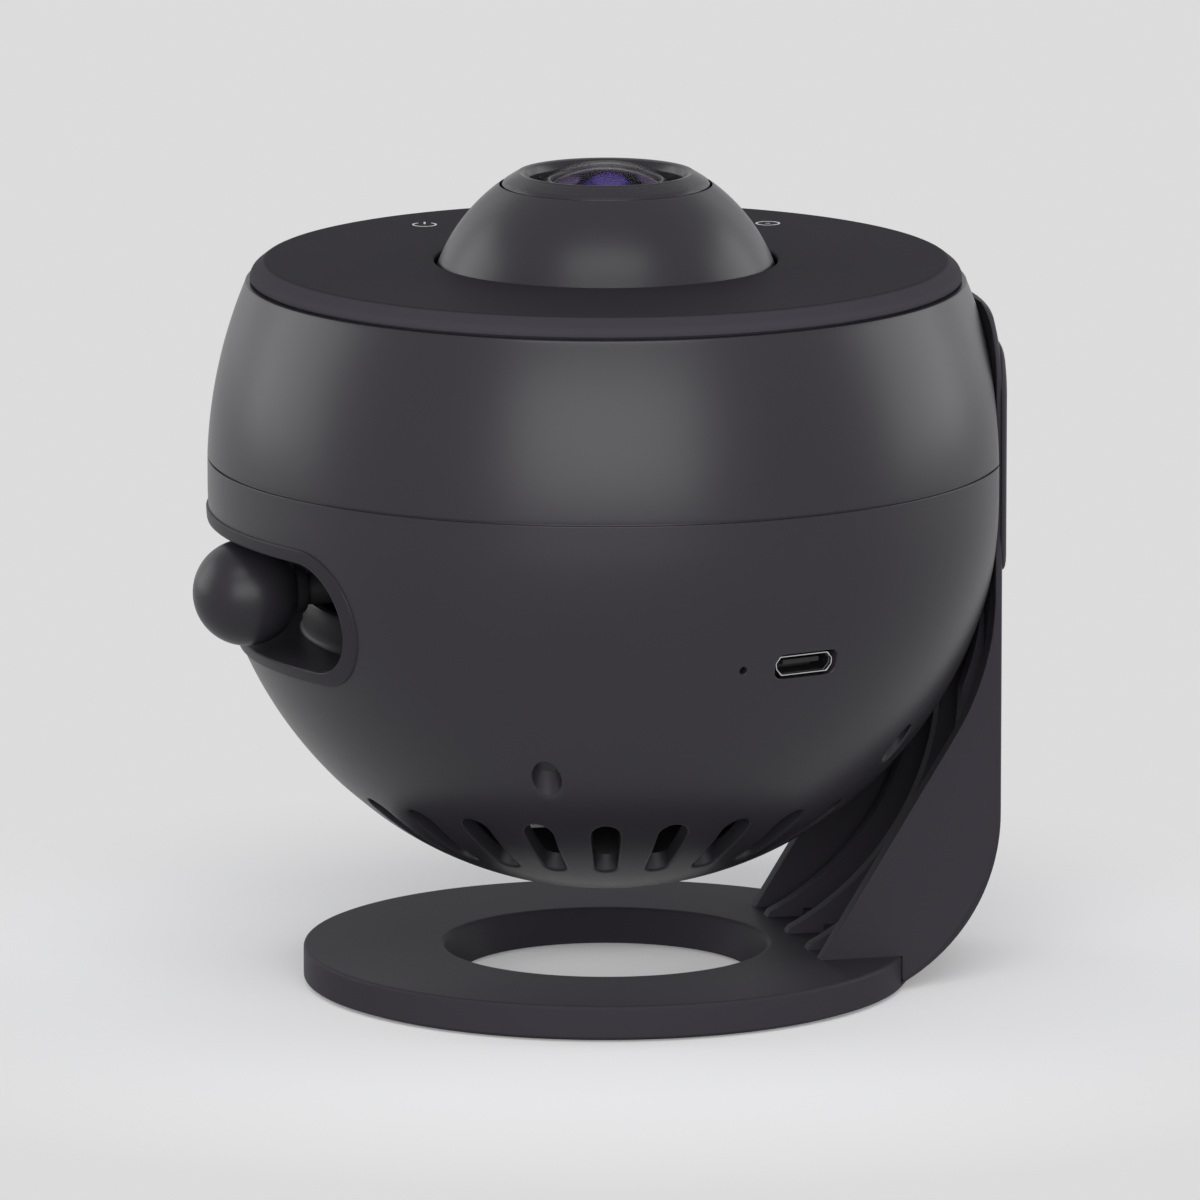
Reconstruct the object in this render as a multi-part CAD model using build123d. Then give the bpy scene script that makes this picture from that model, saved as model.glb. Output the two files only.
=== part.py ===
from build123d import *
import os
from math import asin, atan, cos, degrees, pi, radians, sin, sqrt

# A small planetarium projector: a bowl-shaped head that tilts on a ribbed arm, on a ring base.
# Millimetres, +Z up. The origin is the centre of the ring base, on the table.
# The arm stands on the +X side. The head tilts about a level axis along X.

# ---- driving dimensions: head shells ----
HEAD_R = 50.1              # largest radius of the head
SEAM_Z = 67.6              # seam between the two shells, and height of the tilt axis
LIP_Z = 89.6               # top edge of the upper shell
WALL = 2.0                 # shell wall
FLANK_R = 52.24            # arc of the bowl's flank
FLANK_Z = 64.15            # height where the flank stands upright
FLANK_DEG = 57.5           # how far the flank arc runs down before the floor arc takes over
CROWN_R = 62.0             # arc of the upper shell
CROWN_LEAN = 2.11          # how far the arc already leans in at the seam, in degrees
FACET_X = 45.8             # flat on the head's side, which the arm covers
FACET_WALL = 2.2
REVEAL = 0.25              # fine groove along the seam
LAP_H = 1.6                # tongue that locates the upper shell

# ---- vents, wells and inlet of the lower shell ----
VENT_COUNT = 24
VENT_START = 1.0           # direction of the first slot
VENT_R_OUT = 32.1          # centre radius of each slot's wide end
VENT_R_IN = 24.6           # centre radius of its narrow end
VENT_WIDE = 1.85           # half width at the wide end
VENT_NARROW = 1.4
WELL_R = 40.0              # radius on which the four shell screws stand
WELL_ANGLES = (39.0, 114.5, 245.5, 321.0)
WELL_BORE = 1.8
TOWER_R = 3.2
TOWER_TOP = 50.0
INLET_ANGLE = 287.6        # direction of the power inlet
INLET_Z = 48.3
PINHOLE_ANGLE = 276.8

# ---- focus lever and its recess ----
LEVER_Z = 52.3             # height of the lever's knob
LEVER_ANGLE = 183.3        # direction of the knob at rest
KNOB_R = 6.7
KNOB_REACH = 47.1          # knob centre to head axis
SLOT_SWEEP = 25.5          # half sweep between the end centres of the recess's mouth
RIM_SWEEP = 26.2           # the same for its rim
RIM_H = 8.9                # half height of the recess's rim
MOUTH_H = 7.1              # half height of its mouth
RIM_PROUD = 0.3
RIM_DEPTH = 1.0
TUB_R = 37.0               # inner radius of the recess's back wall
TUB_WALL = 1.2

# ---- top cover and lens ----
COVER_R = 44.7
COVER_TOP = 92.2
DOME_R = 22.7              # spherical lens housing
DOME_Z = 83.4              # height of its centre
DOME_HOLE = 21.55
BARREL_R = 13.05
LENS_MOUTH = 10.3
BARREL_TOP = 101.2
GLASS_R = 18.1             # outside of the front glass
GLASS_Z = 86.45            # height of its centre
BEZEL_TOP = 103.5
GAP = 0.3                  # clear space round what moves

# ---- base and arm ----
BASE_R = 38.25
BASE_H = 4.6
BASE_HOLE_TOP = 20.6
BASE_HOLE_LOW = 18.3
PAD_H = 0.4                # how far the rubber ring stands out below
ARM_R = 49.9               # outer surface of the arm, round the head's axis
ARM_HALF = 17.5            # half width
ARM_TOP = 86.4
SHOULDER_R = 40.0          # shallow arc that leans the arm's top in
SHOULDER_DEG = 14.0
CAP_R = 2.5                # round edge above it
ARM_CORNER = 9.0           # round corners of the arm's top, seen from outside
ARM_FACE_X = FACET_X + GAP
ARM_SKIN = 2.2
FOOT_R = 24.0              # big round heel of the arm
FOOT_Z = 21.5
FOOT_FRONT = 28.2          # front of the floor between the arm's walls
FOOT_FLOOR = 5.6           # top of that floor
RIB_Y = (-10.2, 0.0, 10.2)
RIB_T = 2.4
RIB_X, RIB_Z, RIB_R = 8.0, 37.0, 35.5    # circle of the ribs' free edge
HINGE_COVER_LOW = 52.4
HINGE_COVER_TOP = 81.0
COVER_SKIN = 0.5           # hinge cover on the arm's outside
ARM_SCREWS = ((31.5, 5.1), (31.5, -5.1), (29.8, 13.0), (29.8, -13.0))
SCREW_BOSS_TOP = 7.4

# ---- hinge ----
SHAFT_R = 4.0
HUB_R = 6.0
RUNNING = 0.05             # radial clearance of a running fit

# ---- focus train ----
PIN_Z = 81.0
PIN_R = 1.0
PIN_ANGLES = (60.0, 180.0, 300.0)
CAM_RISE = 3.1             # millimetres of lens travel per radian of lever
CAM_IN = 15.5
CAM_OUT = 17.5
CAM_LOW = 76.0
CAM_HIGH = 86.2

# ---- star disc drive ----
MODULE = 0.5
DISC_TEETH = 72
PINION_TEETH = 12
MOTOR_ANGLE = 75.0
GEAR_LOW = 63.2
GEAR_HIGH = 67.2
COLLAR_R = 13.0
BACKLASH = 0.12

BIG = 200.0


# ---- shaping helpers ----
def block(x0, x1, y0, y1, z0, z1):
    """A box between two corners."""
    centre = Pos((x0 + x1) / 2, (y0 + y1) / 2, (z0 + z1) / 2)
    return centre * Box(x1 - x0, y1 - y0, z1 - z0)


def turned(*corners):
    """A solid turned about Z from (r, z) corners."""
    outline = Polyline(*corners, close=True)
    return revolve(Plane.XZ * make_face(outline), Axis.Z)


def tube(r_in, r_out, z0, z1):
    """A plain ring about Z."""
    return turned((r_in, z0), (r_out, z0), (r_out, z1), (r_in, z1))


def rod(radius, z0, z1):
    """A plain disc or rod about Z."""
    return Pos(0, 0, (z0 + z1) / 2) * Cylinder(radius, z1 - z0)


def spoke(angle, radius, r0, r1, z):
    """A round rod that points away from the Z axis."""
    place = Rot(0, 0, angle) * Pos((r0 + r1) / 2, 0, z) * Rot(0, 90, 0)
    return place * Cylinder(radius, r1 - r0)


def axle(radius, x0, x1, y=0.0, z=SEAM_Z):
    """A round rod along X, on the tilt axis unless moved."""
    return Pos((x0 + x1) / 2, y, z) * Rot(0, 90, 0) * Cylinder(radius, x1 - x0)


def joined(shapes):
    """The union of a list of shapes."""
    whole = shapes[0]
    for shape in shapes[1:]:
        whole = whole + shape
    return whole


def floor_arc():
    """Radius and centre height of the bowl's floor arc, tangent to the flank."""
    turn = radians(FLANK_DEG)
    radius = (HEAD_R - FLANK_R + FLANK_R * cos(turn)) / cos(turn)
    centre = FLANK_Z - FLANK_R * sin(turn) + radius * sin(turn)
    return radius, centre


def flank_radius(z):
    """Outer radius of the bowl's flank at a height."""
    return HEAD_R - FLANK_R + sqrt(FLANK_R ** 2 - (FLANK_Z - z) ** 2)


def crown_arc(inset):
    """Radius and centre (r, z) of the upper shell's arc, moved inwards by inset."""
    radius = CROWN_R - inset
    lean = radians(CROWN_LEAN)
    return radius, HEAD_R - inset - radius * cos(lean), SEAM_Z - radius * sin(lean)


def head_form(inset):
    """The whole head as one solid, with its outline moved inwards by inset."""
    floor_r, floor_z = floor_arc()
    crown_r, crown_x, crown_z = crown_arc(inset)
    lip_deg = degrees(asin((LIP_Z - crown_z) / crown_r))
    floor = CenterArc((0, floor_z), floor_r - inset, -90, 90 - FLANK_DEG)
    flank = CenterArc((HEAD_R - FLANK_R, FLANK_Z), FLANK_R - inset, -FLANK_DEG, FLANK_DEG)
    waist = Line(flank @ 1, (HEAD_R - inset, SEAM_Z))
    crown = CenterArc((crown_x, crown_z), crown_r, CROWN_LEAN, lip_deg - CROWN_LEAN)
    lip = Line(crown @ 1, (0, LIP_Z))
    axis = Line((0, LIP_Z), floor @ 0)
    return revolve(Plane.XZ * make_face(floor + flank + waist + crown + lip + axis), Axis.Z)


def head_shell():
    """Both shells as one wall, with the flat on the arm's side."""
    outer = head_form(0) & block(-BIG, FACET_X, -BIG, BIG, 0, BIG)
    inner = head_form(WALL) & block(-BIG, FACET_X - FACET_WALL, -BIG, BIG, 0, BIG)
    crown_r, crown_x, crown_z = crown_arc(WALL)
    mouth_r = crown_x + sqrt(crown_r ** 2 - (LIP_Z - crown_z) ** 2)
    return outer - inner - rod(mouth_r, LIP_Z - 3.0, LIP_Z + 1.0)


def wrapped_slot(half_height, r_in, r_out, sweep=SLOT_SWEEP):
    """A level slot with round ends, bent round the Z axis and centred on -X."""
    section = Plane.XZ * Pos((r_in + r_out) / 2, LEVER_Z) * Rectangle(r_out - r_in, 2 * half_height)
    band = Rot(0, 0, 180 - sweep) * revolve(section, Axis.Z, 2 * sweep)
    start = spoke(180 - sweep, half_height, r_in, r_out, LEVER_Z)
    end = spoke(180 + sweep, half_height, r_in, r_out, LEVER_Z)
    return band + start + end


# ---- head shells ----
def vents():
    """Tapered vent slots round the floor of the bowl, cut straight up."""
    wide = Pos(VENT_R_OUT, 0) * Circle(VENT_WIDE)
    narrow = Pos(VENT_R_IN, 0) * Circle(VENT_NARROW)
    side = Polyline(
        (VENT_R_IN, VENT_NARROW),
        (VENT_R_OUT, VENT_WIDE),
        (VENT_R_OUT, -VENT_WIDE),
        (VENT_R_IN, -VENT_NARROW),
        close=True,
    )
    slot = extrude(wide + narrow + make_face(side), 30)
    turns = [VENT_START + i * 360 / VENT_COUNT for i in range(VENT_COUNT)]
    return [Rot(0, 0, turn) * Pos(0, 0, 8) * slot for turn in turns]


def towers():
    """Screw towers of the lower shell, before their bores."""
    inside = head_form(WALL / 2)
    return [Rot(0, 0, a) * Pos(WELL_R, 0, 0) * rod(TOWER_R, 20, TOWER_TOP) & inside for a in WELL_ANGLES]


def posts():
    """Posts that carry the lamp and the circuit board."""
    inside = head_form(WALL / 2)
    lamp = [Rot(0, 0, a) * Pos(22, 0, 0) * rod(3, 12, 34) & inside for a in PIN_ANGLES]
    place = Rot(0, 0, INLET_ANGLE)
    board = [place * Pos(31, side, 0) * rod(2.2, 12, 45.7) & inside for side in (-8, 8)]
    return lamp + board


def inlet_cut():
    """Opening for the power inlet, wider at the face."""
    place = Rot(0, 0, INLET_ANGLE) * Pos(HEAD_R - 8, 0, INLET_Z) * Rot(0, 90, 0) * Rot(0, 0, 90)
    return place * extrude(RectangleRounded(8.3, 3.3, 1.1), 12)


def hub_cut(extra=0.0):
    """Round hole in the flat for the hinge hub."""
    return axle(HUB_R + extra, FACET_X - 6, FACET_X + 2)


def lower_shell():
    shell = head_shell() & block(-BIG, BIG, -BIG, BIG, 0, SEAM_Z)
    tongue = tube(HEAD_R - WALL, HEAD_R - 1.05, SEAM_Z - 3, SEAM_Z + LAP_H)
    tongue = tongue & block(-BIG, FACET_X - FACET_WALL, -BIG, BIG, 0, BIG)
    shell = joined([shell, tongue] + towers() + posts())
    shell = shell - tube(HEAD_R - 0.3, HEAD_R + 2, SEAM_Z - REVEAL, SEAM_Z + 1)
    for cut in vents():
        shell = shell - cut
    for angle in WELL_ANGLES:
        place = Rot(0, 0, angle) * Pos(WELL_R, 0, 0)
        shell = shell - place * rod(WELL_BORE, 10, 48) - place * rod(1.05, 47, 52)
    for angle in PIN_ANGLES:
        shell = shell - Rot(0, 0, angle) * Pos(22, 0, 0) * rod(1.05, 26, 36)
    for side in (-8, 8):
        shell = shell - Rot(0, 0, INLET_ANGLE) * Pos(31, side, 0) * rod(0.8, 40, 47)
    rim_seat = wrapped_slot(RIM_H + 0.06, 38, 56, RIM_SWEEP) - head_form(RIM_DEPTH)
    shell = shell - wrapped_slot(MOUTH_H + TUB_WALL + 0.05, 38, 56) - rim_seat
    shell = shell - inlet_cut() - spoke(PINHOLE_ANGLE, 0.5, 40, 52, INLET_Z)
    return shell - hub_cut()


def upper_shell():
    shell = head_shell() & block(-BIG, BIG, -BIG, BIG, SEAM_Z, BIG)
    shell = shell - tube(HEAD_R - WALL - 1, HEAD_R - 1.0, SEAM_Z - 1, SEAM_Z + LAP_H + 0.05)
    inside = head_form(WALL / 2)
    for angle in WELL_ANGLES:
        place = Rot(0, 0, angle)
        boss = place * Pos(WELL_R, 0, 0) * rod(3.0, TOWER_TOP, 84)
        web = place * block(WELL_R + 2, HEAD_R, -0.8, 0.8, SEAM_Z + 4, 84) & inside
        shell = shell + boss + web - place * Pos(WELL_R, 0, 0) * rod(1.05, TOWER_TOP - 1, 63)
    return shell - hub_cut()


def top_cover():
    """Flat cover with a chamfered edge, a plug that sits in the shell's mouth, and screw posts."""
    cover = turned(
        (DOME_HOLE, COVER_TOP),
        (42.9, COVER_TOP),
        (44.4, COVER_TOP - 1.2),
        (COVER_R, COVER_TOP - 1.9),
        (COVER_R, LIP_Z + 0.3),
        (44.1, LIP_Z + 0.3),
        (44.1, LIP_Z),
        (42.9, LIP_Z),
        (42.9, 88.0),
        (41.6, 88.0),
        (41.6, 90.1),
        (22.6, 90.1),
        (DOME_HOLE, 91.5),
    )
    for angle in PIN_ANGLES:
        place = Rot(0, 0, angle + 30) * Pos(28, 0, 0)
        cover = cover + place * rod(2.6, 88.6, 90.2) - place * rod(0.8, 88, 91.2)
    return cover


# ---- lens housing and focus train ----
def dome():
    """Spherical housing round the lens, with a foot ring that the cover traps."""
    ball = Pos(0, 0, DOME_Z) * Sphere(DOME_R)
    hollow = Pos(0, 0, DOME_Z) * Sphere(DOME_R - 1.8)
    zone = (ball - hollow) & rod(30, 89.6, 110)
    foot = tube(20.6, 24.0, 88.6, 89.9)
    return zone + foot - rod(BARREL_R + GAP, 80, 110)


def guide_tube():
    """Tube that guides the lens barrel, with three upright slots and a screwed flange."""
    body = tube(BARREL_R + GAP, CAM_IN - GAP, 71.5, 96.8) + tube(BARREL_R + GAP, 24.5, 86.6, 88.6)
    for angle in PIN_ANGLES:
        ear = Rot(0, 0, angle + 30) * Pos(28, 0, 0) * rod(3.2, 86.6, 88.6)
        web = Rot(0, 0, angle + 30) * block(20, 28, -3.2, 3.2, 86.6, 88.6)
        body = body + ear + web - Rot(0, 0, angle + 30) * Pos(28, 0, 0) * rod(1.05, 86, 89)
        slot = Plane.YZ * Pos(0, PIN_Z) * SlotOverall(7.0, 2 * PIN_R + 0.7, rotation=90)
        body = body - Rot(0, 0, angle) * extrude(slot, 20)
    return body


def guide_screws():
    """Three screws that hold the flange under the cover."""
    screws = []
    for angle in PIN_ANGLES:
        place = Rot(0, 0, angle + 30) * Pos(28, 0, 0)
        screws.append(place * (rod(1.8, 85.3, 86.6) + rod(0.75, 86.6, 91.0)))
    return Compound(children=screws)


def cam_ring():
    """Ring with three sloped slots that lift the lens pins as it turns."""
    ring = tube(CAM_IN, CAM_OUT, CAM_LOW, CAM_HIGH)
    slope = degrees(atan(CAM_RISE / (CAM_IN + 1)))
    for angle in PIN_ANGLES:
        outline = SlotOverall(20.0, 2 * PIN_R + 0.7, rotation=-slope)
        cut = Rot(0, 0, angle) * extrude(Plane.YZ * Pos(0, PIN_Z) * outline, 25)
        ring = ring - cut
    lug = Rot(0, 0, LEVER_ANGLE + 60) * block(16.0, 21.5, -6, 6, CAM_LOW, CAM_LOW + 2.0)
    lug = lug - rod(CAM_IN, 70, 90)
    for side in (-3.5, 3.5):
        lug = lug - Rot(0, 0, LEVER_ANGLE + 60) * Pos(19.4, side, 0) * rod(0.8, 70, 90)
    return ring + lug


def cam_retainer():
    """Ring pressed on the tube below the cam ring."""
    return tube(CAM_IN - GAP, CAM_OUT - 0.4, CAM_LOW - 2.0, CAM_LOW - 0.3)


def cam_pins():
    """Three pins that stand out of the lens barrel."""
    pins = [spoke(a, PIN_R, BARREL_R - 0.8, CAM_OUT - 0.2, PIN_Z) for a in PIN_ANGLES]
    return Compound(children=pins)


def lens_barrel():
    barrel = tube(BARREL_R - 1.6, BARREL_R, 73.4, BARREL_TOP)
    barrel = barrel + tube(10.4, BARREL_R - 1.5, 76.6, 77.4)
    for angle in PIN_ANGLES:
        barrel = barrel - spoke(angle, PIN_R, BARREL_R - 0.8, BARREL_R + 1, PIN_Z)
    return barrel


def lens_bezel():
    """Sloped ring round the front lens, which carries on the dome's curve."""
    ball = Pos(0, 0, DOME_Z) * Sphere(DOME_R)
    ring = turned(
        (BARREL_R - 3.4, BARREL_TOP),
        (BARREL_R, BARREL_TOP),
        (BARREL_R, 103.2),
        (LENS_MOUTH + 0.6, BEZEL_TOP),
        (LENS_MOUTH + 0.1, BEZEL_TOP),
        (LENS_MOUTH - 0.3, 102.6),
        (BARREL_R - 3.4, 102.0),
    )
    return ring & ball


def front_lens():
    """Domed front glass, seated under the bezel."""
    crown = Pos(0, 0, GLASS_Z) * Sphere(GLASS_R)
    dome_part = crown & rod(9.6, 98.6, 110)
    flange = rod(BARREL_R - 1.65, 98.6, BARREL_TOP - 0.05)
    hollow = Pos(0, 0, 85.0) * Sphere(17.0)
    return dome_part + flange - hollow


def rear_lens():
    """Two-sided lens against the barrel's inner step."""
    upper = Pos(0, 0, 62.0) * Sphere(17.0)
    lower = Pos(0, 0, 86.9) * Sphere(13.5)
    return upper & lower & rod(BARREL_R - 1.65, 73.5, 76.6)


def lever_arm():
    """Bent strip from the cam ring down to the knob's stem."""
    strip = Rot(0, 0, LEVER_ANGLE + 60) * block(17.6, 24.0, -6, 6, CAM_LOW - 1.6, CAM_LOW)
    bow = Rot(0, 0, LEVER_ANGLE - 6) * revolve(
        Plane.XZ * Pos(21.5, CAM_LOW - 0.8) * Rectangle(5.0, 1.6), Axis.Z, 78
    )
    place = Rot(0, 0, LEVER_ANGLE)
    reach = place * block(21.0, 33.6, -3.2, 3.2, CAM_LOW - 1.6, CAM_LOW)
    leg = place * block(32.0, 33.6, -3.2, 3.2, LEVER_Z - 3.2, CAM_LOW)
    stem = spoke(LEVER_ANGLE, 2.0, 33.0, KNOB_REACH - 4.0, LEVER_Z)
    whole = strip + bow + reach + leg + stem
    for side in (-3.5, 3.5):
        whole = whole - Rot(0, 0, LEVER_ANGLE + 60) * Pos(19.4, side, 0) * rod(0.9, 70, 90)
    return whole


def lever_screws():
    screws = []
    for side in (-3.5, 3.5):
        place = Rot(0, 0, LEVER_ANGLE + 60) * Pos(19.4, side, 0)
        screws.append(place * (rod(1.4, CAM_LOW - 2.5, CAM_LOW - 1.6) + rod(0.75, CAM_LOW - 1.6, CAM_LOW + 1.8)))
    return Compound(children=screws)


def lever_knob():
    """Ball knob with a short collar behind it."""
    place = Rot(0, 0, LEVER_ANGLE)
    ball = place * Pos(KNOB_REACH, 0, LEVER_Z) * Sphere(KNOB_R)
    collar = spoke(LEVER_ANGLE, 3.0, KNOB_REACH - 7.4, KNOB_REACH - 3, LEVER_Z)
    return ball + collar - spoke(LEVER_ANGLE, 2.0, 30, KNOB_REACH - 4.0, LEVER_Z)


def lever_recess():
    """Moulded insert: a rim that follows the head, a tub, and a slot for the stem."""
    skin = head_form(-RIM_PROUD) - head_form(RIM_DEPTH)
    rim = (wrapped_slot(RIM_H, 38, 58, RIM_SWEEP) - wrapped_slot(MOUTH_H, 36, 60)) & skin
    wall = wrapped_slot(MOUTH_H + TUB_WALL, TUB_R, 56) & head_form(RIM_DEPTH - 0.1)
    wall = wall & tube(TUB_R, 60, 30, 80)
    tub = wall - wrapped_slot(MOUTH_H, TUB_R + TUB_WALL, 60)
    floor = wall & tube(TUB_R, TUB_R + TUB_WALL, 30, 80)
    whole = rim + tub + floor
    return whole - wrapped_slot(2.4, 30, TUB_R + 4, SLOT_SWEEP + 0.8)


# ---- star disc drive ----
def gear(teeth, thickness):
    """Flat-flanked spur gear blank on the XY plane."""
    pitch = teeth * MODULE / 2
    tip = pitch + MODULE
    root = pitch - 1.25 * MODULE
    step = 2 * pi / teeth
    half = step / 4 - BACKLASH / (2 * pitch)
    rise = half * 0.55
    foot = half * 1.5
    corners = []
    for i in range(teeth):
        mid = i * step
        for radius, turn in ((root, -foot), (tip, -rise), (tip, rise), (root, foot)):
            corners.append((radius * cos(mid + turn), radius * sin(mid + turn)))
    return extrude(make_face(Polyline(*corners, close=True)), thickness)


def disc_carrier():
    """Geared ring that runs on the lamp housing's collar and holds the star disc."""
    rim = Pos(0, 0, GEAR_LOW) * gear(DISC_TEETH, GEAR_HIGH - GEAR_LOW)
    cup = rod(16.4, 62.9, 70.0)
    bore = rod(COLLAR_R + RUNNING, 60, 68.3)
    return rim + cup - bore - rod(11.2, 60, 75) - rod(15.0, 69.2, 75)


def motor_pinion():
    blank = Rot(0, 0, 180.0 / PINION_TEETH * ((DISC_TEETH // 2 + 1) % 2)) * gear(PINION_TEETH, 3.6)
    turn = pinion_phase()
    reach = (DISC_TEETH + PINION_TEETH) * MODULE / 2
    place = Rot(0, 0, MOTOR_ANGLE) * Pos(reach, 0, GEAR_LOW + 0.2) * Rot(0, 0, turn)
    return place * (blank - Pos(0, 0, 1.8) * Cylinder(0.8, 6))


def pinion_phase():
    """Extra turn that sets a pinion gap over the disc gear's tooth at the mesh line."""
    step = 360.0 / DISC_TEETH
    offset = MOTOR_ANGLE % step
    return offset * DISC_TEETH / PINION_TEETH


def motor():
    """Small gear motor that hangs from the lamp housing's ear."""
    reach = (DISC_TEETH + PINION_TEETH) * MODULE / 2
    place = Rot(0, 0, MOTOR_ANGLE) * Pos(reach, 0, 0)
    can = rod(5.0, 46.0, 58.0) + rod(4.0, 44.8, 46.0) + rod(2.0, 58.0, 60.5)
    return place * (can + block(-2.5, 2.5, -7.5, 7.5, 57.0, 58.0) + rod(0.75, 58.0, 66.9))


# ---- lamp ----
def heat_sink():
    plate = rod(25.5, 34.0, 37.0)
    fins = [block(-17, 17, y - 0.7, y + 0.7, 22.5, 34.5) for y in range(-12, 13, 4)]
    plate = joined([plate] + [fin & rod(18.5, 20, 40) for fin in fins])
    for angle in PIN_ANGLES:
        plate = plate - Rot(0, 0, angle) * Pos(22, 0, 0) * rod(1.3, 30, 40)
    return plate


def led_module():
    """Star-shaped board with a domed emitter."""
    board = Pos(0, 0, 37.0) * extrude(RegularPolygon(10.0, 6), 1.4)
    return board + rod(3.6, 38.4, 39.6) + (Pos(0, 0, 38.6) * Sphere(2.9) & rod(5, 38.4, 45))


def lamp_housing():
    """Tube over the lamp: foot flange, condenser seat, top flange, collar and motor ear."""
    body = turned(
        (13.2, 37.0),
        (25.5, 37.0),
        (25.5, 39.0),
        (15.4, 39.0),
        (15.4, 60.5),
        (18.5, 60.5),
        (18.5, 62.5),
        (COLLAR_R, 62.5),
        (COLLAR_R, 68.0),
        (11.2, 68.0),
        (11.2, 52.6),
        (13.2, 52.6),
    )
    reach = (DISC_TEETH + PINION_TEETH) * MODULE / 2
    place = Rot(0, 0, MOTOR_ANGLE)
    ear = place * block(15.5, reach + 6, -5, 5, 58.0, 60.5) + place * block(15.5, 18, -5, 5, 58, 62.5)
    bore = place * Pos(reach, 0, 0) * rod(2.05, 50, 65)
    body = body + (ear - rod(14, 30, 80)) - bore
    for angle in PIN_ANGLES:
        body = body - Rot(0, 0, angle) * Pos(22, 0, 0) * rod(1.3, 30, 45)
    return body


def condenser_lens():
    return (Pos(0, 0, 41.0) * Sphere(15.0) & rod(13.1, 46.5, 60)) - rod(30, 0, 47.2)


def lamp_screws():
    screws = []
    for angle in PIN_ANGLES:
        place = Rot(0, 0, angle) * Pos(22, 0, 0)
        screws.append(place * (rod(2.2, 39.0, 40.6) + rod(1.0, 27.0, 39.0)))
    return Compound(children=screws)


def film_disc():
    return rod(14.9, 69.2, 69.8)


# ---- electrics ----
def main_board():
    place = Rot(0, 0, INLET_ANGLE)
    board = place * block(24.0, 42.0, -10, 10, 45.7, 46.9)
    chip = place * block(26.5, 31.5, -3, 3, 46.9, 48.0)
    for side in (-8, 8):
        board = board - place * Pos(31, side, 0) * rod(0.9, 40, 50)
    return board + chip


def board_screws():
    place = Rot(0, 0, INLET_ANGLE)
    screws = [place * Pos(31, s, 0) * (rod(1.5, 46.9, 47.9) + rod(0.75, 41.0, 46.9)) for s in (-8, 8)]
    return Compound(children=screws)


def socket_outline(grow):
    """Six-sided section of the power inlet, narrower below."""
    top, middle, low, half = 3.1 + grow, 3.75 + grow, 2.9 + grow, 1.3 + grow
    return Polyline(
        (-top, half), (top, half), (middle, 0.35), (middle - 0.1, -0.35), (low, -half), (-low, -half),
        (-middle + 0.1, -0.35), (-middle, 0.35), close=True,
    )


def inlet_socket():
    """Drawn metal shell of the power inlet, with its tongue."""
    outer = extrude(make_face(socket_outline(0.0)), 5.7)
    inner = Pos(0, 0, 0.6) * extrude(make_face(socket_outline(-0.28)), 6)
    lip = Pos(0, 0, 5.3) * extrude(make_face(socket_outline(0.2)), 0.4)
    tongue = Pos(0, 0.35, 0.5) * extrude(Rectangle(4.6, 0.6), 4.2)
    shell = outer + lip - inner + tongue
    place = Rot(0, 0, INLET_ANGLE) * Pos(41.2, 0, INLET_Z) * Rot(0, 90, 0) * Rot(0, 0, 90)
    return place * shell


def touch_board():
    """Thin ring of circuit board under the cover, which feels a finger through it."""
    ring = tube(32.5, 41.2, 88.9, 90.1)
    return ring - Rot(0, 0, 0) * block(0, 60, -8, 8, 80, 100)


# ---- hinge ----
def hub_plate():
    """Bearing plate inside the flat: flange, sleeve through the shells and the shaft's bore."""
    hub = axle(11.0, FACET_X - FACET_WALL - 2.6, FACET_X - FACET_WALL)
    hub = hub + axle(HUB_R - 0.03, FACET_X - 9.0, FACET_X)
    hub = hub - axle(SHAFT_R + RUNNING, FACET_X - 12, FACET_X + 2)
    for y, z in hub_screw_places():
        hub = hub - axle(1.1, 35, 45.5, y, z)
    return hub


def hub_screw_places():
    """Two screws in each shell, off the seam."""
    return [(side * 6.2, SEAM_Z + lift * 6.2) for side in (-1, 1) for lift in (-1, 1)]


def hub_screws():
    x = FACET_X - FACET_WALL - 2.6
    screws = [axle(1.7, x - 1.2, x, y, z) + axle(0.8, x, x + 2.6, y, z) for y, z in hub_screw_places()]
    return Compound(children=screws)


def pivot_shaft():
    """Flanged steel shaft, fixed in the arm."""
    shaft = axle(SHAFT_R, 32.0, 48.6) + axle(8.0, 47.6, 48.6)
    shaft = shaft - axle(1.4, 31, 36)
    for y, z in pivot_screw_places():
        shaft = shaft - axle(0.85, 45, 50, y, z)
    return shaft


def pivot_screw_places():
    turn = [radians(90 + 120 * i) for i in range(3)]
    return [(6.1 * cos(a), SEAM_Z + 6.1 * sin(a)) for a in turn]


def pivot_screws():
    screws = [axle(0.8, 46.4, 48.6, y, z) + axle(1.3, 48.6, 48.95, y, z) for y, z in pivot_screw_places()]
    return Compound(children=screws)


def friction_washer():
    return axle(7.0, 35.9, 36.7) - axle(SHAFT_R + 0.05, 35, 38)


def spring_washer():
    """Slightly coned spring that loads the friction washer."""
    outline = Polyline((34.5, 4.2), (35.1, 4.2), (35.9, 6.6), (35.3, 6.6), close=True)
    ring = revolve(make_face(outline), Axis.X)
    return Pos(0, 0, SEAM_Z) * ring


def pivot_nut():
    nut = Rot(0, 90, 0) * extrude(RegularPolygon(6.4, 6), 2.4)
    return Pos(32.0, 0, SEAM_Z) * nut - axle(SHAFT_R, 30, 36)


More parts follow.
